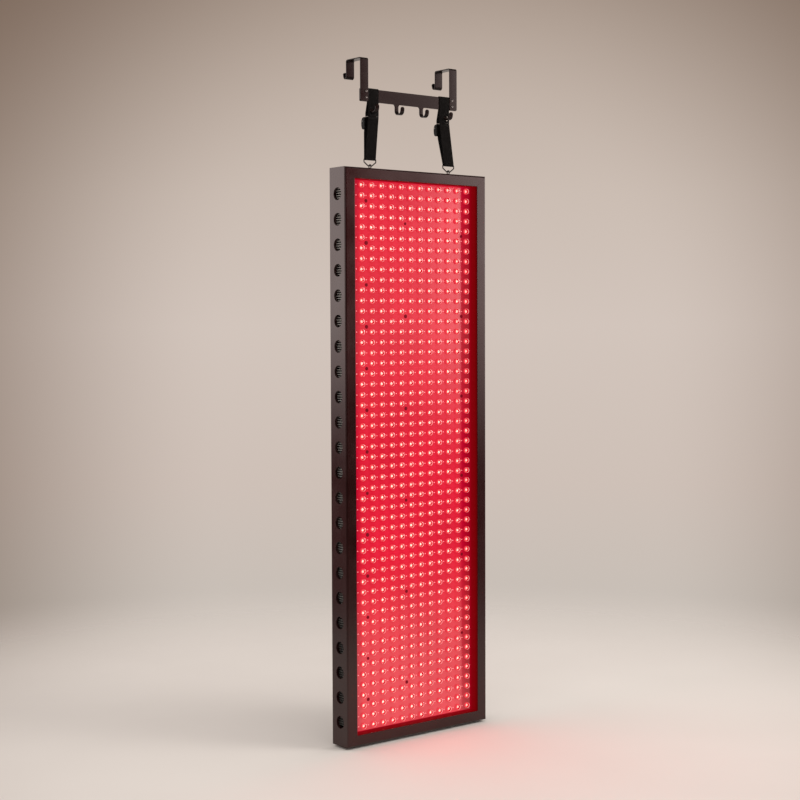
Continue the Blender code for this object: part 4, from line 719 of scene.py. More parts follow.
def cup_finish():
    """A moulded cup with a painted glow: dark red inside, a painted highlight band under its lip."""
    finish, tree, shader = new_finish("lens_cup")
    place, split, reach = lamp_distance(tree)
    # Painted light inside the cup: a dark red glow low down and a painted highlight band near the lip.
    inside = colours_over(tree, split["Y"], FIELD_Y, FIELD_Y - CUP_HEIGHT, (
        (0.0, (0.50, 0.004, 0.016)), (0.50, (0.46, 0.004, 0.014)),
        (0.70, (1.0, 0.26, 0.27)), (1.0, (1.0, 0.52, 0.48))))
    # A painted halo outside the cup, brightest at its rim.
    outside = colours_over(tree, reach, 0.0050, 0.0058, (
        (0.0, (0.95, 0.16, 0.17)), (0.5, (0.84, 0.070, 0.090)), (1.0, (0.74, 0.026, 0.048))))
    within = maths(tree, 'LESS_THAN', reach, CUP_RADIUS + 0.00002)
    grain = noise(tree, place, 1500)
    fill(tree, shader, {
        "Base Color": coloured(tree, grain, ((0.0, (0.10, 0.004, 0.008)), (1.0, (0.14, 0.008, 0.012)))),
        "Emission Color": mixed(tree, within, outside, inside), "Emission Strength": 1.0,
        "Roughness": 0.45, "Specular IOR Level": 0.2})
    return finish


SEAT_RED_GLOW = worked_finish("lamp_seat", (0.16, 0.004, 0.010), (0.24, 0.006, 0.014),
                         (0.25, 0.4), 1500, 0.00002, broad=120)
# The seat's red glow is painted lamp light.
adjust(SEAT_RED_GLOW, {"Emission Color": (0.60, 0.008, 0.024, 1), "Emission Strength": 1.0})
CORE, CUP, CLEAR = core_finish(), cup_finish(), clear_finish()
print("lamp finishes ready")

# %% [markdown]
# ### The patterns and their grid
# Each pattern is a small turned form of a few dozen faces, because it is copied 689 times. Four
# patterns are repeated with the same grid, so they always stay centred on each other. Cup and
# dome are open shells: the flat faces that close them are taken off again.

# %% Repeat the lamps
GRID_CENTRE = (0.0, FIELD_Y, MIDDLE_Z)
LAMP_PITCHES = (PITCH_X, PITCH_Z)
LAMP_SIDES, CUP_SIDES = 12, 16


def opened(form):
    """Take off the flat faces that close a turned form."""
    for face in [f for f in form.faces if len(f.verts) > 4]:
        form.faces.remove(face)
    return form


seat_form = turned_form([(0.0050, -0.0001), (0.0047, 0.0006), (0.0034, 0.0004)], LAMP_SIDES, FACING_FRONT)
core_form = turned_form([(0.0026, 0.0003), (0.0025, 0.0006), (0.0019, 0.0008), (0.0010, 0.00095),
                         (0, 0.0010)], LAMP_SIDES, FACING_FRONT)
cup_form = opened(turned_form([(CUP_RADIUS, 0.0), (CUP_RADIUS, CUP_HEIGHT),
                               (CUP_RADIUS + 0.0004, CUP_HEIGHT - 0.0001), (0.0058, 0.0)],
                              CUP_SIDES, FACING_FRONT))
cup_form.verts.ensure_lookup_table()
for side in range(CUP_SIDES):
    other = (side + 1) % CUP_SIDES
    foot = (3 * CUP_SIDES + side, 3 * CUP_SIDES + other, other, side)
    cup_form.faces.new([cup_form.verts[i] for i in foot])
dome_form = opened(turned_form([(0.0053, 0.0042), (0.0049, 0.0045), (0.0038, 0.0047), (0.0020, 0.0049),
                                (0, 0.005)], LAMP_SIDES, FACING_FRONT))
LAMPS = (("lamp_seats", seat_form, SEAT_RED_GLOW, "board"), ("lamp_cores", core_form, CORE, "board"),
         ("lens_cups", cup_form, CUP, "lens"), ("lens_domes", dome_form, CLEAR, "lens"))
for name, form, finish, slot in LAMPS:
    pattern = settle(name + "_one", form, angle=75)
    lamps = repeat_on_grid(name, pattern, (COLUMNS, ROWS), LAMP_PITCHES, GRID_CENTRE, finish, seed=7)
    hand_over(name, lamps, None, "panel_body")

# %% [markdown]
# ### What lies between the lamps
# Between two lamps of a row sits a small pale part whose pink glint is painted on as a faint glow.
# Dark screw heads hold the boards down in three lines between the lamps, closest together on the
# left, and the lamps' red light on them is painted on as a dim glow.
# Each line has its own spacing, and a second small tree puts a head on each place, with a small
# random change of size.

# %% Glints and board screws
GLINT = worked_finish("pale_component", (0.70, 0.30, 0.33), (0.90, 0.52, 0.54),
                      (0.2, 0.35), 1500, 0.00001, broad=200)
# The pink glint is painted: the pale part glows faintly.
adjust(GLINT, {"Emission Color": (0.95, 0.16, 0.20, 1), "Emission Strength": 0.55})
glint_form = block_form((-0.0013, -0.0007, -0.0008), (0.0013, 0.0001, 0.0008))
round_edges(glint_form, 0.0003, 1)
glints = repeat_on_grid("board_components", settle("component_one", glint_form), (COLUMNS - 1, ROWS),
                        LAMP_PITCHES, GRID_CENTRE, GLINT, seed=3)
hand_over("board_components", glints, None, "panel_body")
SCREW_DARK = worked_finish("dark_screw", (0.010, 0.0012, 0.002), (0.030, 0.003, 0.005),
                           (0.5, 0.7), 2500, 0.00001, broad=200)
# The lamps' red light on the screw heads is painted as a dim red glow.
adjust(SCREW_DARK, {"Specular IOR Level": 0.15, "Emission Color": (0.20, 0.001, 0.008, 1),
                    "Emission Strength": 1.0})


def points_tree():
    """A tree that sets a pattern on each point of the carrier's own mesh."""
    tree, given, result = started_tree("pattern_on_points", (
        ("Pattern", "Object"), ("Smallest", "Float"), ("Largest", "Float"), ("Finish", "Material")))
    sockets = {"Seed": 5, 2: given["Smallest"], 3: given["Largest"]}
    change = add_node(tree, 'FunctionNodeRandomValue', sockets, data_type='FLOAT')
    copies = copies_on(tree, given["Geometry"], given, Scale=change.outputs["Value"])
    return end_tree(tree, copies, given, result)


# One line of screws: its column, its first row and the rows from one screw to the next, counted
# from the left and the top; a half lies between two lamps
SCREW_LINES = ((1.5, 1.5, 4), (5.5, 3.5, 9), (11.5, 4.5, 8))
spot_places = []
for column, first_row, rows_between in SCREW_LINES:
    row = first_row
    while row < ROWS - 1:
        x = (column - (COLUMNS - 1) / 2) * PITCH_X
        spot_places.append((x, FIELD_Y, MIDDLE_Z + ((ROWS - 1) / 2 - row) * PITCH_Z))
        row += rows_between
spot_form = turned_form([(0.0033, -0.0001), (0.0033, 0.0006), (0.0027, 0.0009), (0.0011, 0.0009),
                         (0.0010, 0.0005)], 12, FACING_FRONT)
spots = repeat("board_screws", points_tree(), settle("board_screw_one", spot_form),
               {"Smallest": 0.85, "Largest": 1.25, "Finish": SCREW_DARK}, spot_places)
hand_over("board_screws", spots, None, "panel_body")

# %% [markdown]
# ## The housing's four rails
# The housing is bent sheet metal, mitred at its corners, with a small radius on its outer front
# edge. Each rail is one section carried between two mitre planes. The side rails have 22 round
# vents, and each vent's edge is broken by a small flare. A turned cutter with that flare makes the
# hole and its broken edge in one cut, which is cleaner than bevelling a finished hole.

# %% The rail section and its sweep
def rail_outline(border, wall):
    """The section: u runs in from the outer face, v back from the front."""
    depth, edge, recess = BACK_Y - FRONT_Y, 0.0035, 0.0317
    lip_low, lip_high = 0.0456, 0.0471
    points = [(0.0004, depth), (0.0, depth - 0.0004)]
    for step in range(9):
        angle = math.pi / 2 * step / 8
        points.append((edge * (1 - math.cos(angle)), edge * (1 - math.sin(angle))))
    points += [(border - 0.0006, 0.0), (border - 0.00018, 0.00018), (border, 0.0006), (border, recess)]
    points += [(border - 0.002, recess), (border - 0.002, 0.003), (wall, 0.003), (wall, lip_low)]
    points += [(wall + 0.006, lip_low), (wall + 0.006, lip_high), (wall, lip_high), (wall, depth)]
    return points


def rail_form(section, half_length, slope, place):
    """Carry the section between its two mitre planes."""
    shape = bmesh.new()
    ends = []
    for sign in (-1, 1):
        ends.append([shape.verts.new(place(u, v, sign * (half_length - slope * u - MITRE_GAP)))
                     for u, v in section])
    shape.faces.new(ends[0])
    shape.faces.new(ends[1][::-1])
    for i in range(len(section)):
        j = (i + 1) % len(section)
        shape.faces.new((ends[0][i], ends[1][i], ends[1][j], ends[0][j]))
    bmesh.ops.recalc_face_normals(shape, faces=shape.faces)
    return shape


# %% The walls round the lit field
MITRE_GAP = 0.00012
# The lamps' red light on these walls is painted as a glow, strongest by the board and fading towards the
# front.
RECESS = worked_finish("lit_recess_wall", (0.014, 0.0003, 0.0006), (0.022, 0.0005, 0.0009),
                       (0.55, 0.7), 900, 0.00004, broad=20)
recess_tree = RECESS.node_tree
recess_place = recess_tree.nodes["Texture Coordinate"].outputs["Object"]
recess_depth = add_node(recess_tree, 'ShaderNodeSeparateXYZ', {"Vector": recess_place}).outputs["Y"]
recess_painted_light = colours_over(recess_tree, recess_depth, FRONT_Y, FIELD_Y, (
    (0.0, (0.07, 0.0, 0.0008)), (0.30, (0.17, 0.0001, 0.0014)),
    (0.75, (0.21, 0.0002, 0.0030)), (1.0, (0.34, 0.0004, 0.010))))
adjust(RECESS, {"Emission Color": recess_painted_light, "Emission Strength": 1.0, "Specular IOR Level": 0.05})


def line_recess(piece):
    """Give the walls that face the lamps their matte finish with painted red light."""
    piece.data.materials.append(RECESS)
    lit = 0
    for face in piece.data.polygons:
        x, y, z = face.center
        wall = abs(abs(x) - (HALF_WIDTH - SIDE_BORDER)) < 0.00005 and abs(face.normal.x) > 0.9
        end = abs(abs(z - MIDDLE_Z) - (HALF_HEIGHT - END_BORDER)) < 0.00005 and abs(face.normal.z) > 0.9
        if wall or end:
            face.material_index = 1
            lit += 1
    print(piece.name, "recess faces", lit)


def hand_over_rail(name, node, blank, openings):
    """Cut a rail's openings, shade it again and hand it over."""
    rail = cut_from(node, plain_mesh(node + "_blank", blank), plain_mesh("openings", gathered(openings)))
    line_recess(hand_over(name, reshaded(name, rail), PAINT, "panel_body", (node,)))


# %% The side rails with their vents
SIDES = (("left", -1), ("right", 1))
VENTS, VENTS_FROM_TOP, VENTS_FROM_BOTTOM = 22, 0.050, 0.046
VENT_PITCH = (2 * HALF_HEIGHT - VENTS_FROM_TOP - VENTS_FROM_BOTTOM) / (VENTS - 1)
VENT_Z = [TOP_Z - VENTS_FROM_TOP - index * VENT_PITCH for index in range(VENTS)]
VENT_CUTTER = [(0.0128, -0.001), (0.0120, 0.0), (0.01165, 0.0003), (0.0115, 0.0007), (0.0115, 0.007)]
for label, side in SIDES:
    blank = rail_form(rail_outline(SIDE_BORDER, SIDE_WALL), HALF_HEIGHT, END_BORDER / SIDE_BORDER,
                      lambda u, v, w, s=side: (s * (HALF_WIDTH - u), FRONT_Y + v, MIDDLE_Z + w))
    inward = Matrix.Rotation(math.radians(-90 * side), 4, 'Y')
    places = [Matrix.Translation((side * HALF_WIDTH, MIDDLE_Y, z)) @ inward for z in VENT_Z]
    vents = [turned_form(VENT_CUTTER, 36, place) for place in places]
    hand_over_rail(f"{label}_side_rail", f"{label}_rail", blank, vents)

# %% [markdown]
# The end rails are the same section with a thinner wall. The top one has two holes for the eye
# bolts, the bottom one a window each for the mains inlet and the switch.

# %% The end rails
BOLT_X = 0.0982
hole_places = [Matrix.Translation((x, MIDDLE_Y, TOP_Z - 0.0015)) for x in (-BOLT_X, BOLT_X)]
bolt_holes = [turned_form([(0.0024, -0.004), (0.0024, 0.004)], 20, place) for place in hole_places]
# The middle, half width and half depth of what stands in each window, and the gap round it
WINDOWS, WINDOW_GAP = ((0.088, 0.0136, 0.0099), (0.126, 0.0105, 0.0075)), 0.0004
windows = []
for x, half_x, half_y in WINDOWS:
    low = (x - half_x - WINDOW_GAP, MIDDLE_Y - half_y - WINDOW_GAP, BOTTOM_Z - 0.004)
    high = (x + half_x + WINDOW_GAP, MIDDLE_Y + half_y + WINDOW_GAP, BOTTOM_Z + 0.006)
    windows.append(block_form(low, high))
for label, side, openings in (("top", 1, bolt_holes), ("bottom", -1, windows)):
    blank = rail_form(rail_outline(END_BORDER, END_WALL), HALF_WIDTH, SIDE_BORDER / END_BORDER,
                      lambda u, v, w, s=side: (w, FRONT_Y + v, MIDDLE_Z + s * (HALF_HEIGHT - u)))
    hand_over_rail(f"{label}_end_rail", f"{label}_rail", blank, openings)

# %% [markdown]
# ## Cooling fins behind the vents
# Through each vent the photograph shows a stack of thin level fins, about five to a vent. They are
# taken to be one comb-shaped extrusion on each side. One fin is repeated on a grid the whole way
# down, and a base plate joins the fins.

# %% The two heat sinks
FIN_PITCH, FINLESS_ENDS = 0.0045, 0.072
FIN_COUNT = int((2 * HALF_HEIGHT - FINLESS_ENDS) / FIN_PITCH)
FIN_ROOT, FIN_TIP, FIN_HALF_DEPTH, FIN_HALF_THICK = 0.1574, 0.1694, 0.0208, 0.0007
BASE_X, BASE_FRONT, BASE_BACK, BASE_HALF_HEIGHT = (0.1553, 0.1576), -0.0444, -0.0027, 0.514
for label, side in SIDES:
    reach = (FIN_TIP - FIN_ROOT) / 2
    fin = block_form((-reach, -FIN_HALF_DEPTH, -FIN_HALF_THICK), (reach, FIN_HALF_DEPTH, FIN_HALF_THICK))
    round_edges(fin, 0.0003, 1)
    centre = (side * (FIN_ROOT + FIN_TIP) / 2, MIDDLE_Y, MIDDLE_Z)
    comb = repeat_on_grid(f"{label}_fins", settle("fin_one", fin), (1, FIN_COUNT), (0.0, FIN_PITCH),
                          centre, FIN_METAL)
    base_x = sorted(side * x for x in BASE_X)
    base = block_form((base_x[0], BASE_FRONT, MIDDLE_Z - BASE_HALF_HEIGHT),
                      (base_x[1], BASE_BACK, MIDDLE_Z + BASE_HALF_HEIGHT))
    whole = bmesh.new()
    whole.from_mesh(comb)
    whole.from_mesh(plain_mesh("base", base))
    dress(f"{label}_fin_comb", whole, FIN_METAL, "panel_body", (f"{label}_heat_sink",))

# %% [markdown]
# ## The rack: bar and J hooks
# The bar is flat steel with four narrow tongues left below it, and each tongue is bent forwards
# and up into a J with a round tip. The root of each tongue is flared where the cutter turned.
# Bar and hooks are made as separate forms with the same coat and joined, as they are one piece.

# %% The hook bar
BAR_TOP, BAR_LOW, BAR_FRONT, BAR_BACK = -0.0565, -0.0810, -0.0220, -0.0200
BAR_HALF, BAR_CORNER, FLARE = 0.1205, 0.0025, 0.004
HOOK_X = [-0.09225 + 0.0615 * index for index in range(4)]
HOOK_WIDTH, STEEL = 0.009, 0.002


def bar_edge():
    """The bar's outline with a flared root above each hook."""
    points = []

    def corner(sign_x, sign_z, start):
        x = sign_x * (BAR_HALF - BAR_CORNER)
        z = BAR_TOP - BAR_CORNER if sign_z > 0 else BAR_LOW + BAR_CORNER
        for step in range(5):
            angle = math.radians(start + 22.5 * step)
            points.append((x + BAR_CORNER * math.cos(angle), z + BAR_CORNER * math.sin(angle)))

    corner(-1, 1, 90)
    corner(-1, -1, 180)
    for x in HOOK_X:
        for sign, steps in ((-1, range(7)), (1, range(6, -1, -1))):
            for step in steps:
                angle = math.pi / 2 * step / 6
                away = HOOK_WIDTH / 2 + FLARE - FLARE * math.sin(angle)
                points.append((x + sign * away, BAR_LOW - FLARE * (1 - math.cos(angle))))
    corner(1, -1, 270)
    corner(1, 1, 0)
    return points


plate = slab_form(bar_edge(), BAR_FRONT, BAR_BACK)
round_edges(plate, 0.0003, 2, angle=50)
hook_route = [(-0.021, -0.0835, 0), (-0.021, -0.1007, 0.008), (-0.038, -0.1007, 0.008), (-0.040, -0.0867, 0)]
hooks = [strip_form(bend(hook_route, 12), STEEL, x, HOOK_WIDTH, tips=(0, 0.0042)) for x in HOOK_X]
dress("hook_bar_and_hooks", gathered([plate] + hooks), STRIP, "rack", ("hook_bar",))

# %% [markdown]
# ## The two door hooks
# Each is one strip bent square over the door's top edge, with a small curl at its rear end that
# stands clear of the door. The square bends have an inside radius of one thickness, and those of
# the curl are rounder.

# %% The door hooks
door_route = [(0.0315, -0.0216, 0), (0.0285, -0.0336, 0.0045), (0.021, -0.0336, 0.0045),
              (0.021, 0.001, 0.003), (-0.0233, 0.001, 0.003), (-0.0233, -0.081, 0)]
for label, side in SIDES:
    hook = strip_form(bend(door_route, 10), STEEL, side * 0.111, 0.019, tips=(0.0045, 0.0035))
    dress(f"{label}_hook_over_door", hook, STRIP, "rack", (f"{label}_door_hook",))

# %% [markdown]
# ## Screws that join hook and bar
# Two pan-head screws hold each door hook to the bar. The head is a turned dome, and a six-sided
# socket is cut into it, so the highlight breaks in the middle as it does on real ones.

# %% The four screws
HEAD_PROFILE = [(0.0016, -0.0042), (0.0016, 0.0), (0.0026, 0.0), (0.0026, 0.0004), (0.0023, 0.0009),
                (0.0017, 0.0012), (0.0009, 0.0013), (0, 0.0013)]
SOCKET_PROFILE = [(0.00115, 0.0005), (0.00115, 0.002)]
head_places = [Matrix.Translation((x, -0.0246, z)) @ FACING_FRONT
               for x in (-0.1073, 0.1073) for z in (-0.0615, -0.0730)]
heads = gathered([turned_form(HEAD_PROFILE, 20, place) for place in head_places])
sockets = gathered([turned_form(SOCKET_PROFILE, 6, place) for place in head_places])
screw_mesh = cut_from("bar_screws", plain_mesh("heads", heads), plain_mesh("sockets", sockets))
hand_over("bar_screws", reshaded("bar_screws", screw_mesh, 30), PLATED, "rack",
          [f"{label}_{level}_screw" for label, _ in SIDES for level in ("upper", "lower")])

# %% [markdown]
# ## Webbing
# The straps are 25 mm polyester webbing. Its face shows fine chevron ribs along its length. The
# strips carry a UV map in metres, across and along, so the ribs follow every fold. The weave is
# made of two waves: cords that run along the strap, and picks that cross them.

# %% The woven finish
CORD_PITCH, PICK_PITCH = 0.0016, 0.0011


def webbing_finish():
    """Woven polyester: cords along it and slanting picks across."""
    finish, tree, shader = new_finish("woven_webbing")
    sheet = add_node(tree, 'ShaderNodeUVMap', uv_map="UVMap").outputs["UV"]
    split = add_node(tree, 'ShaderNodeSeparateXYZ', {"Vector": sheet}).outputs
    across = maths(tree, 'MULTIPLY', split["X"], math.tau / CORD_PITCH)
    along = maths(tree, 'MULTIPLY', split["Y"], math.tau / PICK_PITCH)
    zigzag = maths(tree, 'SINE', across)
    picks = maths(tree, 'SINE', maths(tree, 'MULTIPLY_ADD', zigzag, 1.3, along))
    height = maths(tree, 'ADD', picks, maths(tree, 'ABSOLUTE', zigzag))
    fuzz = noise(tree, add_node(tree, 'ShaderNodeTexCoord').outputs["Object"], 2600)
    relief = add_node(tree, 'ShaderNodeBump', {"Height": height, "Distance": 0.0003, "Strength": 0.8})
    fine = add_node(tree, 'ShaderNodeBump', {"Height": fuzz, "Distance": 0.00008,
                                             "Normal": relief.outputs["Normal"]})
    # The weave's hollows are coloured darker, a painted shade in its recesses.
    shade = colours_over(tree, height, -1.0, 2.0, (
        (0.0, (0.0025, 0.0021, 0.0019)), (1.0, (0.0085, 0.0064, 0.0056))))
    fill(tree, shader, {"Base Color": shade, "Roughness": 0.78, "Specular IOR Level": 0.12,
                        "Sheen Weight": 0.05, "Sheen Roughness": 0.4, "Normal": fine.outputs["Normal"]})
    return finish


WEBBING = webbing_finish()
THREAD = worked_finish("sewing_thread", (0.008, 0.007, 0.0065), (0.020, 0.018, 0.017),
                       (0.5, 0.7), 4000, 0.00003, broad=500)
print("webbing", len(WEBBING.node_tree.nodes), "nodes")

# %% [markdown]
# ### The fold over the bar and the hanging run
# Each strap is folded over the bar, and the end J hook comes out through a sewn slot in it. Below
# the hooks the hanging run leans out a little, from the bar to its eye bolt, which is wider apart.
# At the bottom it turns round the wire triangle and comes back up behind to the cam buckle.

# %% The webbing pieces
STRAP_X, STRAP_TOP, FOLD_Z, FOLD_RADIUS = 0.0887, -0.1080, -0.1894, 0.002
STRAP_WIDTH, STRAP_THICK = 0.025, 0.0012
LEAN = (BOLT_X - STRAP_X) / (STRAP_TOP - FOLD_Z)
END_HOOK_X, SLOT_HALF = -HOOK_X[0], 0.0051
over_bar = [(-0.0229, -0.1077, 0), (-0.0229, -0.0556, 0.0012), (-0.0191, -0.0556, 0.0012),
            (-0.0191, -0.0810, 0.0040), (-0.0139, -0.1017, 0.0040), (-0.0139, -0.1074, 0)]
run_down = [Vector((-0.0229, STRAP_TOP)), Vector((-0.0234, -0.128)), Vector((-0.0243, -0.155))]
turn_back = [Vector((MIDDLE_Y + FOLD_RADIUS * math.cos(a), FOLD_Z + FOLD_RADIUS * math.sin(a)))
             for a in (math.radians(degrees) for degrees in range(180, 361, 18))]
run_up = [Vector((-0.0200, -0.178)), Vector((-0.0160, -0.152)), Vector((-0.0139, -0.138)),
          Vector((-0.0139, STRAP_TOP))]
for label, side in SIDES:
    name = f"{label}_webbing_fold"
    wrap = settle(name, strip_form(bend(over_bar, 6), STRAP_THICK, side * STRAP_X, STRAP_WIDTH))
    slot = block_form((side * END_HOOK_X - SLOT_HALF, -0.027, -0.1023),
                      (side * END_HOOK_X + SLOT_HALF, -0.0220, -0.0931))
    wrap = cut_from(name, wrap, plain_mesh("slot", slot))
    hand_over(name, wrap, WEBBING, "rack", (f"{label}_strap_wrap",))
    run = strip_form(run_down + turn_back + run_up, STRAP_THICK, side * STRAP_X, STRAP_WIDTH,
                     lean=side * LEAN, lean_from=STRAP_TOP)
    dress(f"{label}_webbing_run", run, WEBBING, f"{label}_strap_body", (f"{label}_strap",), 60)

# %% [markdown]
# ### Stitches
# Two bar tacks cross each strap, one just above the seam and one just below. A stitch is a tiny
# round-ended capsule, and the grid tree sets out each tack as three rows of nine.

# %% The bar tacks
STITCH_PROFILE = [(0, -0.0010), (0.00018, -0.00095), (0.00026, -0.0006), (0.00026, 0.0006),
                  (0.00018, 0.00095), (0, 0.0010)]
for label, side in SIDES:
    for name, x, y, z, body in (
            (f"{label}_fold_stitches", STRAP_X, -0.0235, -0.1052, "rack"),
            (f"{label}_run_stitches", STRAP_X + LEAN * 0.0032, -0.0236, -0.1112, f"{label}_strap_body")):
        stitch = settle("stitch_one", turned_form(STITCH_PROFILE, 6, ALONG_X), 80)
        tack = repeat_on_grid(name, stitch, (9, 3), (0.0024, 0.0012), (side * x, y, z), THREAD)
        hand_over(name, tack, None, body)

# %% [markdown]
# ## Cam buckles
# Behind each strap a cam buckle grips the free run. Its body is a folded plate with two cheeks, and
# a sprung cam with a lever turns on a pin between them. The cam's roller is ribbed so that it
# bites. The back of the strap isn't seen in the photograph, so this is the usual pattern.

# %% Buckle body, cam and pin
CHEEK_IN, CHEEK_OUT, BUCKLE_LOW, BUCKLE_HIGH = 0.0140, 0.0154, -0.1330, -0.1095
PIN_Y, PIN_Z, ROLLER_RADIUS = -0.0098, -0.1165, 0.0032
PIN_PROFILE = [(0, -0.0156), (0.0009, -0.0155), (0.0012, -0.0152), (0.0012, 0.0152), (0.0009, 0.0155),
               (0, 0.0156)]
cheek = [(-0.0158, BUCKLE_HIGH + 0.0002), (-0.0158, BUCKLE_LOW - 0.0002)]
for step in range(13):
    angle = math.pi * step / 12
    half_height = (BUCKLE_HIGH - BUCKLE_LOW) / 2
    cheek.append((-0.0150 + 0.0086 * math.sin(angle) ** 0.55,
                  (BUCKLE_LOW + BUCKLE_HIGH) / 2 - half_height * math.cos(angle)))
ribs = []
for step in range(48):
    radius = ROLLER_RADIUS if step % 4 < 2 else 0.0029
    angle = math.tau * step / 48
    ribs.append((PIN_Y + radius * math.cos(angle), PIN_Z + radius * math.sin(angle)))
near_y = PIN_Y + ROLLER_RADIUS - 0.0018
lever_outline = [(near_y, PIN_Z), (near_y + 0.0010, PIN_Z - 0.010), (near_y + 0.0012, PIN_Z - 0.014),
                 (near_y + 0.0028, PIN_Z - 0.014), (near_y + 0.0026, PIN_Z - 0.009), (near_y + 0.0017, PIN_Z)]
for label, side in SIDES:
    strap_body = f"{label}_strap_body"
    x = side * (STRAP_X + LEAN * 0.01325)
    base_form = block_form((x - CHEEK_OUT, -0.0163, BUCKLE_LOW), (x + CHEEK_OUT, -0.0148, BUCKLE_HIGH))
    round_edges(base_form, 0.0004, 2)
    cheeks = [slab_form(cheek, x - CHEEK_OUT, x - CHEEK_IN, 'X'),
              slab_form(cheek, x + CHEEK_IN, x + CHEEK_OUT, 'X')]
    for form in cheeks:
        round_edges(form, 0.0003, 2)
    dress(f"{label}_buckle_body", gathered([base_form] + cheeks), BUCKLE, strap_body,
          (f"{label}_buckle",))
    pin = turned_form(PIN_PROFILE, 16, Matrix.Translation((x, PIN_Y, PIN_Z)) @ ALONG_X)
    dress(f"{label}_cam_axle", pin, PLATED, strap_body, (f"{label}_buckle_pin",))
    roller = slab_form(ribs, x - 0.0136, x + 0.0136, 'X')
    lever = slab_form(lever_outline, x - 0.0133, x + 0.0133, 'X')
    round_edges(lever, 0.0004, 2)
    dress(f"{label}_cam_and_lever", gathered([roller, lever]), BUCKLE, f"{label}_cam_body",
          (f"{label}_buckle_cam",))

# %% [markdown]
# ## Wire triangles and eye bolts
# A bent wire triangle joins each strap to an eye bolt in the top rail. The wire's route has
# rounded corners and closes on itself. The eye bolt is a ring on a flange, with a threaded stem
# that goes down through the rail into a nut.

# %% The wire triangles
WIRE_RADIUS, APEX_Z = 0.0011, -0.2024
half_route = bend([(0.0, FOLD_Z, 0), (0.0142, FOLD_Z, 0.0022), (0.0142, FOLD_Z - 0.006, 0.0022),
                   (0.0045, APEX_Z, 0.0011), (0.0, APEX_Z, 0)], 6)
whole_route = half_route + [Vector((-p.x, p.y)) for p in half_route[-2:0:-1]]
for label, side in SIDES:
    points = [Vector((side * BOLT_X + p.x, MIDDLE_Y, p.y)) for p in whole_route]
    wire = tube_form(points, WIRE_RADIUS, 12, closed=True)
    dress(f"{label}_wire_triangle", wire, WIRE, f"{label}_strap_body", (f"{label}_ring",), 60)

# %% The eye bolts and their nuts
EYE_RADIUS, EYE_UP, THREAD_PITCH = 0.0035, 0.0055, 0.00065
FLANGE_PROFILE = [(0.0034, 0.0003), (0.0040, 0.00035), (0.0042, 0.0006), (0.0042, 0.0010), (0.0038, 0.0013),
                  (0.0018, 0.0016), (0.0012, 0.0024)]
stem_profile = [(0.0020, 0.0004)]
for step in range(12):
    down = THREAD_PITCH * step
    stem_profile += [(0.0020, -0.0005 - down), (0.0017, -0.00082 - down)]
stem_profile.append((0.0014, -0.0085))
for label, side in SIDES:
    x = side * BOLT_X
    on_rail = Matrix.Translation((x, MIDDLE_Y, TOP_Z))
    ring = [Vector((x, y, z)) for y, z in circle(EYE_RADIUS, 36, MIDDLE_Y, TOP_Z + EYE_UP)]
    eye = tube_form(ring, 0.0010, 12, closed=True)
    flange = turned_form(FLANGE_PROFILE, 28, on_rail)
    stem = turned_form(stem_profile, 18, on_rail)
    dress(f"{label}_bolt_and_eye", gathered([eye, flange, stem]), WIRE, "panel_body",
          (f"{label}_eye_bolt",))
    nut = slab_form(circle(0.004, 6, x, MIDDLE_Y), TOP_Z - 0.0065, TOP_Z - 0.0033, 'Z')
    round_edges(nut, 0.0003, 2)
    bore = plain_mesh("bore", turned_form([(0.0022, -0.007), (0.0022, -0.003)], 18, on_rail))
    nut_mesh = cut_from(f"{label}_nut", settle(f"{label}_nut", nut), bore)
    hand_over(f"{label}_bolt_nut", reshaded(f"{label}_bolt_nut", nut_mesh), PLATED, "panel_body",
              (f"{label}_eye_nut",))

# %% [markdown]
# ## The back: cover, screws and fan guards
# The back is closed by one flat painted cover. Over each fan it is pierced with two rings of curved
# slots, which make the finger guard. Flat screws hold it along both sides. The photograph doesn't
# show the back, so slots and screws follow common practice for such a housing.

# %% The rear cover
FAN_Z = (-0.399, -0.759, -1.119)
GUARD_INNER, GUARD_OUTER, GUARD_RIB = 0.0135, 0.0370, 0.0028


def guard_slots(z):
    """Outlines of one fan guard's curved slots."""
    slots = []
    span = (GUARD_OUTER - GUARD_INNER + GUARD_RIB) / 2
    for ring in range(2):
        inner = GUARD_INNER + ring * span
        outer = inner + span - GUARD_RIB
        for sector in range(6):
            start, end = math.tau * sector / 6, math.tau * (sector + 1) / 6
            points = []
            for radius, first, last in ((inner, start, end), (outer, end, start)):
                trim = math.asin(GUARD_RIB / 2 / radius) * (1 if last > first else -1)
                for step in range(9):
                    angle = first + trim + (last - first - 2 * trim) * step / 8
                    points.append((radius * math.cos(angle), z + radius * math.sin(angle)))
            slots.append(points)
    return slots


def pierced_form(outline, holes, low, high):
    """A flat plate across Y with openings through it."""
    shape = bmesh.new()
    for loop in [outline] + holes:
        verts = [shape.verts.new((x, low, z)) for x, z in loop]
        for index, vert in enumerate(verts):
            shape.edges.new((vert, verts[(index + 1) % len(verts)]))
    bmesh.ops.triangle_fill(shape, use_beauty=True, use_dissolve=False, edges=list(shape.edges))
    grown = bmesh.ops.extrude_face_region(shape, geom=list(shape.faces))["geom"]
    raised = [v for v in grown if isinstance(v, bmesh.types.BMVert)]
    bmesh.ops.translate(shape, verts=raised, vec=(0, high - low, 0))
    return shape


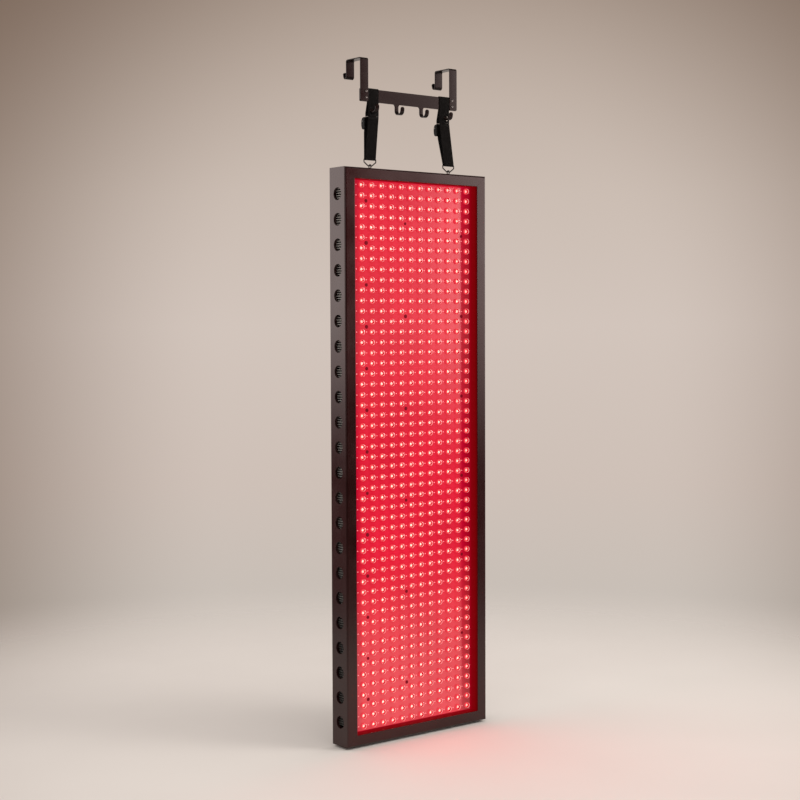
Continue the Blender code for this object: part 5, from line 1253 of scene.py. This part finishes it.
cover_low, cover_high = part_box("rear_cover")
edge = [(cover_low.x, cover_low.z), (cover_high.x, cover_low.z), (cover_high.x, cover_high.z),
        (cover_low.x, cover_high.z)]
cover = pierced_form(edge, [slot for z in FAN_Z for slot in guard_slots(z)], cover_low.y, cover_high.y)
dress("rear_cover_plate", cover, PAINT, "panel_body", ("rear_cover",))
head_form = turned_form([(0.0030, -0.0006), (0.0030, 0.0001), (0.0026, 0.0006), (0.0012, 0.0008),
                         (0.0010, 0.0003), (0, 0.0003)], 18, FACING_BACK)
heads = repeat_on_grid("cover_screws", settle("cover_screw_one", head_form), (2, 7), (0.330, 0.178),
                       (0, cover_high.y - 0.0008, MIDDLE_Z), WIRE)
hand_over("cover_screws", heads, None, "panel_body")

# %% [markdown]
# ## Fans
# Each fan is a square frame with a round bore and four struts that carry the motor, and a rotor
# with seven swept blades. A blade is lofted through six stations from hub to tip, with its pitch
# easing outwards as on a real axial fan.

# %% The fan frames
FAN_FRONT, FAN_BACK, FAN_CORNER, FAN_HOLE = -0.0154, -0.0009, 0.035, 0.0345
CORNERS = ((1, 1), (-1, 1), (-1, -1), (1, -1))
for index, z in enumerate(FAN_Z):
    square = []
    for quarter, (sx, sz) in enumerate(CORNERS):
        for step in range(7):
            angle = math.radians(90 * quarter + 15 * step)
            square.append((sx * FAN_CORNER + 0.005 * math.cos(angle),
                           z + sz * FAN_CORNER + 0.005 * math.sin(angle)))
    holes = [circle(0.038, 64, 0.0, z)]
    holes += [circle(0.0019, 16, sx * FAN_HOLE, z + sz * FAN_HOLE) for sx, sz in CORNERS]
    frame_form = pierced_form(square, holes, FAN_FRONT, FAN_BACK)
    motor = turned_form([(0.0155, 0.0), (0.0155, 0.0017), (0.0150, 0.0020), (0, 0.0020)], 40,
                        Matrix.Translation((0, FAN_FRONT, z)) @ FACING_BACK)
    struts = [block_form((-across, FAN_FRONT + 0.0002, z - up), (across, FAN_FRONT + 0.0018, z + up))
              for across, up in ((0.039, 0.002), (0.002, 0.039))]
    dress(f"fan_{index + 1}_housing", gathered([frame_form, motor] + struts), MOULDED, "panel_body",
          (f"fan_{index + 1}_frame",))


# %% The rotors
BLADE_ROOT, BLADE_TIP, BLADES, STATIONS = 0.0140, 0.0364, 7, 6
BLADE_SECTION = ((-1, -0.4), (-0.5, -1), (0.3, -1), (1, -0.3), (1, 0.3), (0.3, 1), (-0.5, 1), (-1, 0.4))
HUB_PROFILE = [(0, -0.00525), (0.0150, -0.00525), (0.0160, -0.0045), (0.0160, 0.0043), (0.0152, 0.0051),
               (0.0130, 0.00525), (0.0126, 0.0047), (0.0060, 0.0047), (0.0056, 0.00525), (0, 0.00525)]


def blade_form(turn_angle):
    """One swept blade between the hub and the tip circle."""
    shape = bmesh.new()
    spin = Matrix.Rotation(turn_angle, 4, 'Y')
    rings = []
    for station in range(STATIONS):
        t = station / (STATIONS - 1)
        radius = BLADE_ROOT + (BLADE_TIP - BLADE_ROOT) * t
        chord, pitch, thick = 0.013 + 0.006 * t, math.radians(38 - 8 * t), 0.0007 - 0.0003 * t
        ring = []
        for u, w in BLADE_SECTION:
            across = u * chord / 2 * math.cos(pitch) + 0.002 * t * t
            deep = min(chord / 2 * math.sin(pitch), 0.0045) * u + w * thick + 0.0006 * (1 - u * u)
            out = math.sqrt(max(radius ** 2 - across ** 2, 1e-8))
            ring.append(shape.verts.new(spin @ Vector((across, deep, out))))
        rings.append(ring)
    for near, far in zip(rings, rings[1:]):
        for i in range(len(BLADE_SECTION)):
            j = (i + 1) % len(BLADE_SECTION)
            shape.faces.new((near[i], far[i], far[j], near[j]))
    shape.faces.new(rings[0])
    shape.faces.new(rings[-1][::-1])
    return shape


for index, z in enumerate(FAN_Z):
    hub_low, hub_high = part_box(f"fan_{index + 1}_rotor")
    hub = turned_form(HUB_PROFILE, 40, FACING_BACK)
    rotor = gathered([hub] + [blade_form(math.tau * i / BLADES) for i in range(BLADES)])
    bmesh.ops.translate(rotor, verts=rotor.verts, vec=(0, (hub_low.y + hub_high.y) / 2, z))
    dress(f"fan_{index + 1}_blades", rotor, MOULDED, f"fan_{index + 1}_body",
          (f"fan_{index + 1}_rotor",))

# %% [markdown]
# ## Parts that keep their CAD shape
# Some CAD solids already have the real shape: the boards, the plate that spreads their heat, the
# corner keys, the drivers and the leads inside. Those stay, and get a worked finish. The inlet, the
# switch and its rocker keep their shape too, but their moulded edges are softened on a copy,
# because a CAD object's own mesh is never changed.

# %% Finishes for the CAD parts inside
# The LED boards take the pale part's finish, and with it its painted pink glow.
for finish, nodes in ((GLINT, ("led_board_1", "led_board_2", "led_board_3")),
                      (ALLOY, ("heat_spreader", "left_top_key", "left_bottom_key", "right_top_key",
                               "right_bottom_key", "led_driver_1", "led_driver_2")),
                      (RUBBER, ("mains_lead", "driver_lead"))):
    for node in nodes:
        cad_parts[node].data.materials.clear()
        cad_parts[node].data.materials.append(finish)


# %% Softened copies of the inlet, switch and rocker
def softened(node, width):
    """A copy of a CAD solid with its edges rounded."""
    shape = bmesh.new()
    shape.from_mesh(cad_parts[node].data)
    bmesh.ops.remove_doubles(shape, verts=shape.verts, dist=1e-6)
    bmesh.ops.dissolve_limit(shape, angle_limit=math.radians(1), verts=shape.verts, edges=shape.edges)
    round_edges(shape, width, 2)
    return settle(node + "_soft", shape)


for node, finish, body in (("mains_inlet", MOULDED, "panel_body"), ("switch_housing", MOULDED, "panel_body"),
                           ("switch_rocker", ROCKER, "rocker_body")):
    hand_over(f"{node}_moulding", softened(node, 0.0003), finish, body, (node,))

# %% [markdown]
# ## The floor and the room's light
# The photograph is a plain studio: a pale floor that fades into a pale wall, darker towards the
# upper corners. The floor is a disc whose outer part turns clear, so the world behind shows and no
# horizon line is drawn. It keeps the shadow and the red light that the lamps throw on it.

# %% The floor
FLOOR_Z = cad_low[2] - 0.0003
floor_form = bmesh.new()
bmesh.ops.create_circle(floor_form, cap_ends=True, segments=96, radius=3.2,
                        matrix=Matrix.Translation((0.1, 0.1, FLOOR_Z)))
floor = shown("studio_floor", plain_mesh("studio_floor", floor_form))
floor_finish, tree, shader = new_finish("pale_floor")
place = add_node(tree, 'ShaderNodeTexCoord').outputs["Object"]
pale = coloured(tree, noise(tree, place, 3), ((0.0, (0.73, 0.69, 0.655)), (1.0, (0.78, 0.74, 0.705))))
fill(tree, shader, {"Base Color": pale, "Roughness": 0.85})
flat = vector_maths(tree, 'MULTIPLY', place, (1, 1, 0))
fade = brought(tree, vector_maths(tree, 'LENGTH', flat, result="Value"), 0.5, 1.9, easing='SMOOTHSTEP')
clear = add_node(tree, 'ShaderNodeBsdfTransparent').outputs["BSDF"]
blend = add_node(tree, 'ShaderNodeMixShader', {"Fac": fade, 1: shader.outputs["BSDF"], 2: clear})
fill(tree, tree.nodes["Material Output"], {"Surface": blend.outputs["Shader"]})
floor.data.materials.append(floor_finish)
floor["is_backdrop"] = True
print("floor at", round(FLOOR_Z, 4))

# %% [markdown]
# ### The room as a world
# A world can be a picture of the room that depends on direction alone. Ahead of the photograph's
# viewpoint it is the wall: pale up to the middle, darker above and out to the sides. Everywhere
# else it is the rest of the studio, which glossy paint and clear lenses mirror: soft light above,
# a dim band at floor level far away, a dark gap in front, and two bright windows. Rough surfaces
# see a plainer room without the gap and the windows, so that no patch of light falls on them.

# %% The world
world = bpy.data.worlds.new("studio_room")
bpy.context.scene.world = world
world.use_nodes = True
tree = world.node_tree
way = add_node(tree, 'ShaderNodeTexCoord').outputs["Generated"]
rise = add_node(tree, 'ShaderNodeSeparateXYZ', {"Vector": way}).outputs["Z"]


def along(direction):
    """How far the way that is looked points along a direction."""
    return vector_maths(tree, 'DOT_PRODUCT', way, direction, result="Value")


def eased(value, low, high, to_low=0.0, to_high=1.0):
    """A smooth step between two values."""
    return brought(tree, value, low, high, to_low, to_high, 'SMOOTHSTEP')


def times(colour, amount):
    """A colour scaled by an amount or by a colour."""
    return vector_maths(tree, 'MULTIPLY', colour, amount)


height = brought(tree, rise, -0.35, 0.35)
wall = coloured(tree, height, (
    (0.0, (0.66, 0.60, 0.56)), (0.20, (0.60, 0.535, 0.485)), (0.26, (0.58, 0.52, 0.47)),
    (0.36, (0.62, 0.53, 0.475)), (0.50, (0.645, 0.555, 0.50)), (0.62, (0.60, 0.51, 0.45)),
    (0.78, (0.49, 0.40, 0.34)), (1.0, (0.37, 0.29, 0.235))))
sideways = maths(tree, 'SUBTRACT', along(tuple(level)), 0.024)
aside = add_node(tree, 'ShaderNodeCombineXYZ', {"X": sideways, "Y": maths(tree, 'MAXIMUM', rise, 0.0)})
outward = vector_maths(tree, 'LENGTH', aside.outputs["Vector"], result="Value")
corners = coloured(tree, eased(outward, 0.13, 0.36), ((0.0, (1.0, 1.0, 1.0)), (1.0, (0.42, 0.36, 0.32))))
wall = times(wall, corners)
room = coloured(tree, height, (
    (0.0, (0.30, 0.28, 0.27)), (0.20, (0.24, 0.22, 0.21)), (0.27, (0.07, 0.016, 0.018)),
    (0.38, (0.07, 0.016, 0.018)), (0.52, (0.95, 0.88, 0.85)), (0.82, (0.92, 0.86, 0.83)),
    (0.93, (0.30, 0.27, 0.26)), (1.0, (0.10, 0.09, 0.09))))
gap = coloured(tree, eased(along((0.03, -1.0, 0.0)), 0.750, 0.795), (
    (0.0, (1.0, 1.0, 1.0)), (1.0, (0.09, 0.010, 0.013))))
side_window = eased(along((-0.596, 0.803, 0.0)), 0.80, 0.95, 1.0, 2.9)
front_window = eased(along((0.74, -0.67, 0.0)), 0.80, 0.97, 1.0, 4.4)
room = times(times(times(room, gap), side_window), front_window)
soft = coloured(tree, height, (
    (0.0, (0.40, 0.36, 0.34)), (0.45, (0.42, 0.38, 0.36)), (0.62, (0.86, 0.80, 0.76)),
    (1.0, (0.96, 0.90, 0.86))))
mirrored = add_node(tree, 'ShaderNodeLightPath').outputs["Is Glossy Ray"]
surroundings = mixed(tree, mirrored, soft, room)
ahead_share = eased(along((0.626, 0.780, 0.0)), 0.74, 0.86)
fill(tree, tree.nodes["Background"], {"Color": mixed(tree, ahead_share, surroundings, wall), "Strength": 1.0})
print("world", len(tree.nodes), "nodes")

# %% [markdown]
# One soft lamp from the front right gives the pieces their form and a faint shadow to the left.

# %% The soft key light
AIM = Vector((0.0, 0.0, -0.7))
key = bpy.data.lights.new("soft_key", 'AREA')
key.shape, key.size, key.energy = 'DISK', 1.3, 30.0
key.color = (1.0, 0.95, 0.90)
key_object = shown("soft_key", key)
key_object.location = key_place = Vector((1.5, -2.0, 1.3))
key_object.rotation_euler = (AIM - key_place).to_track_quat('-Z', 'Y').to_euler()
key_object.visible_glossy = False
print("key light", round((key_place - AIM).length, 2), "m away")

# %% [markdown]
# The lamps throw most of their red forwards. The small lit cores alone would need many samples for
# an even wash on the floor, so one flat lamp nearly as large as the field gives that light. It faces
# away from the panel, and neither the camera nor a mirror sees it.

# %% The red wash in front of the panel
wash = bpy.data.lights.new("red_wash", 'AREA')
wash.shape, wash.size, wash.size_y, wash.energy = 'RECTANGLE', 0.28, 1.0, 0.8
wash.color = (1.0, 0.05, 0.04)
wash_object = shown("red_wash", wash)
wash_object.location = (0.0, FRONT_Y - 0.004, MIDDLE_Z)
wash_object.rotation_euler = Vector((0.0, -1.0, 0.0)).to_track_quat('-Z', 'Z').to_euler()
wash_object.visible_glossy = wash_object.visible_camera = wash_object.visible_transmission = False
print("red wash", wash.energy, "W")
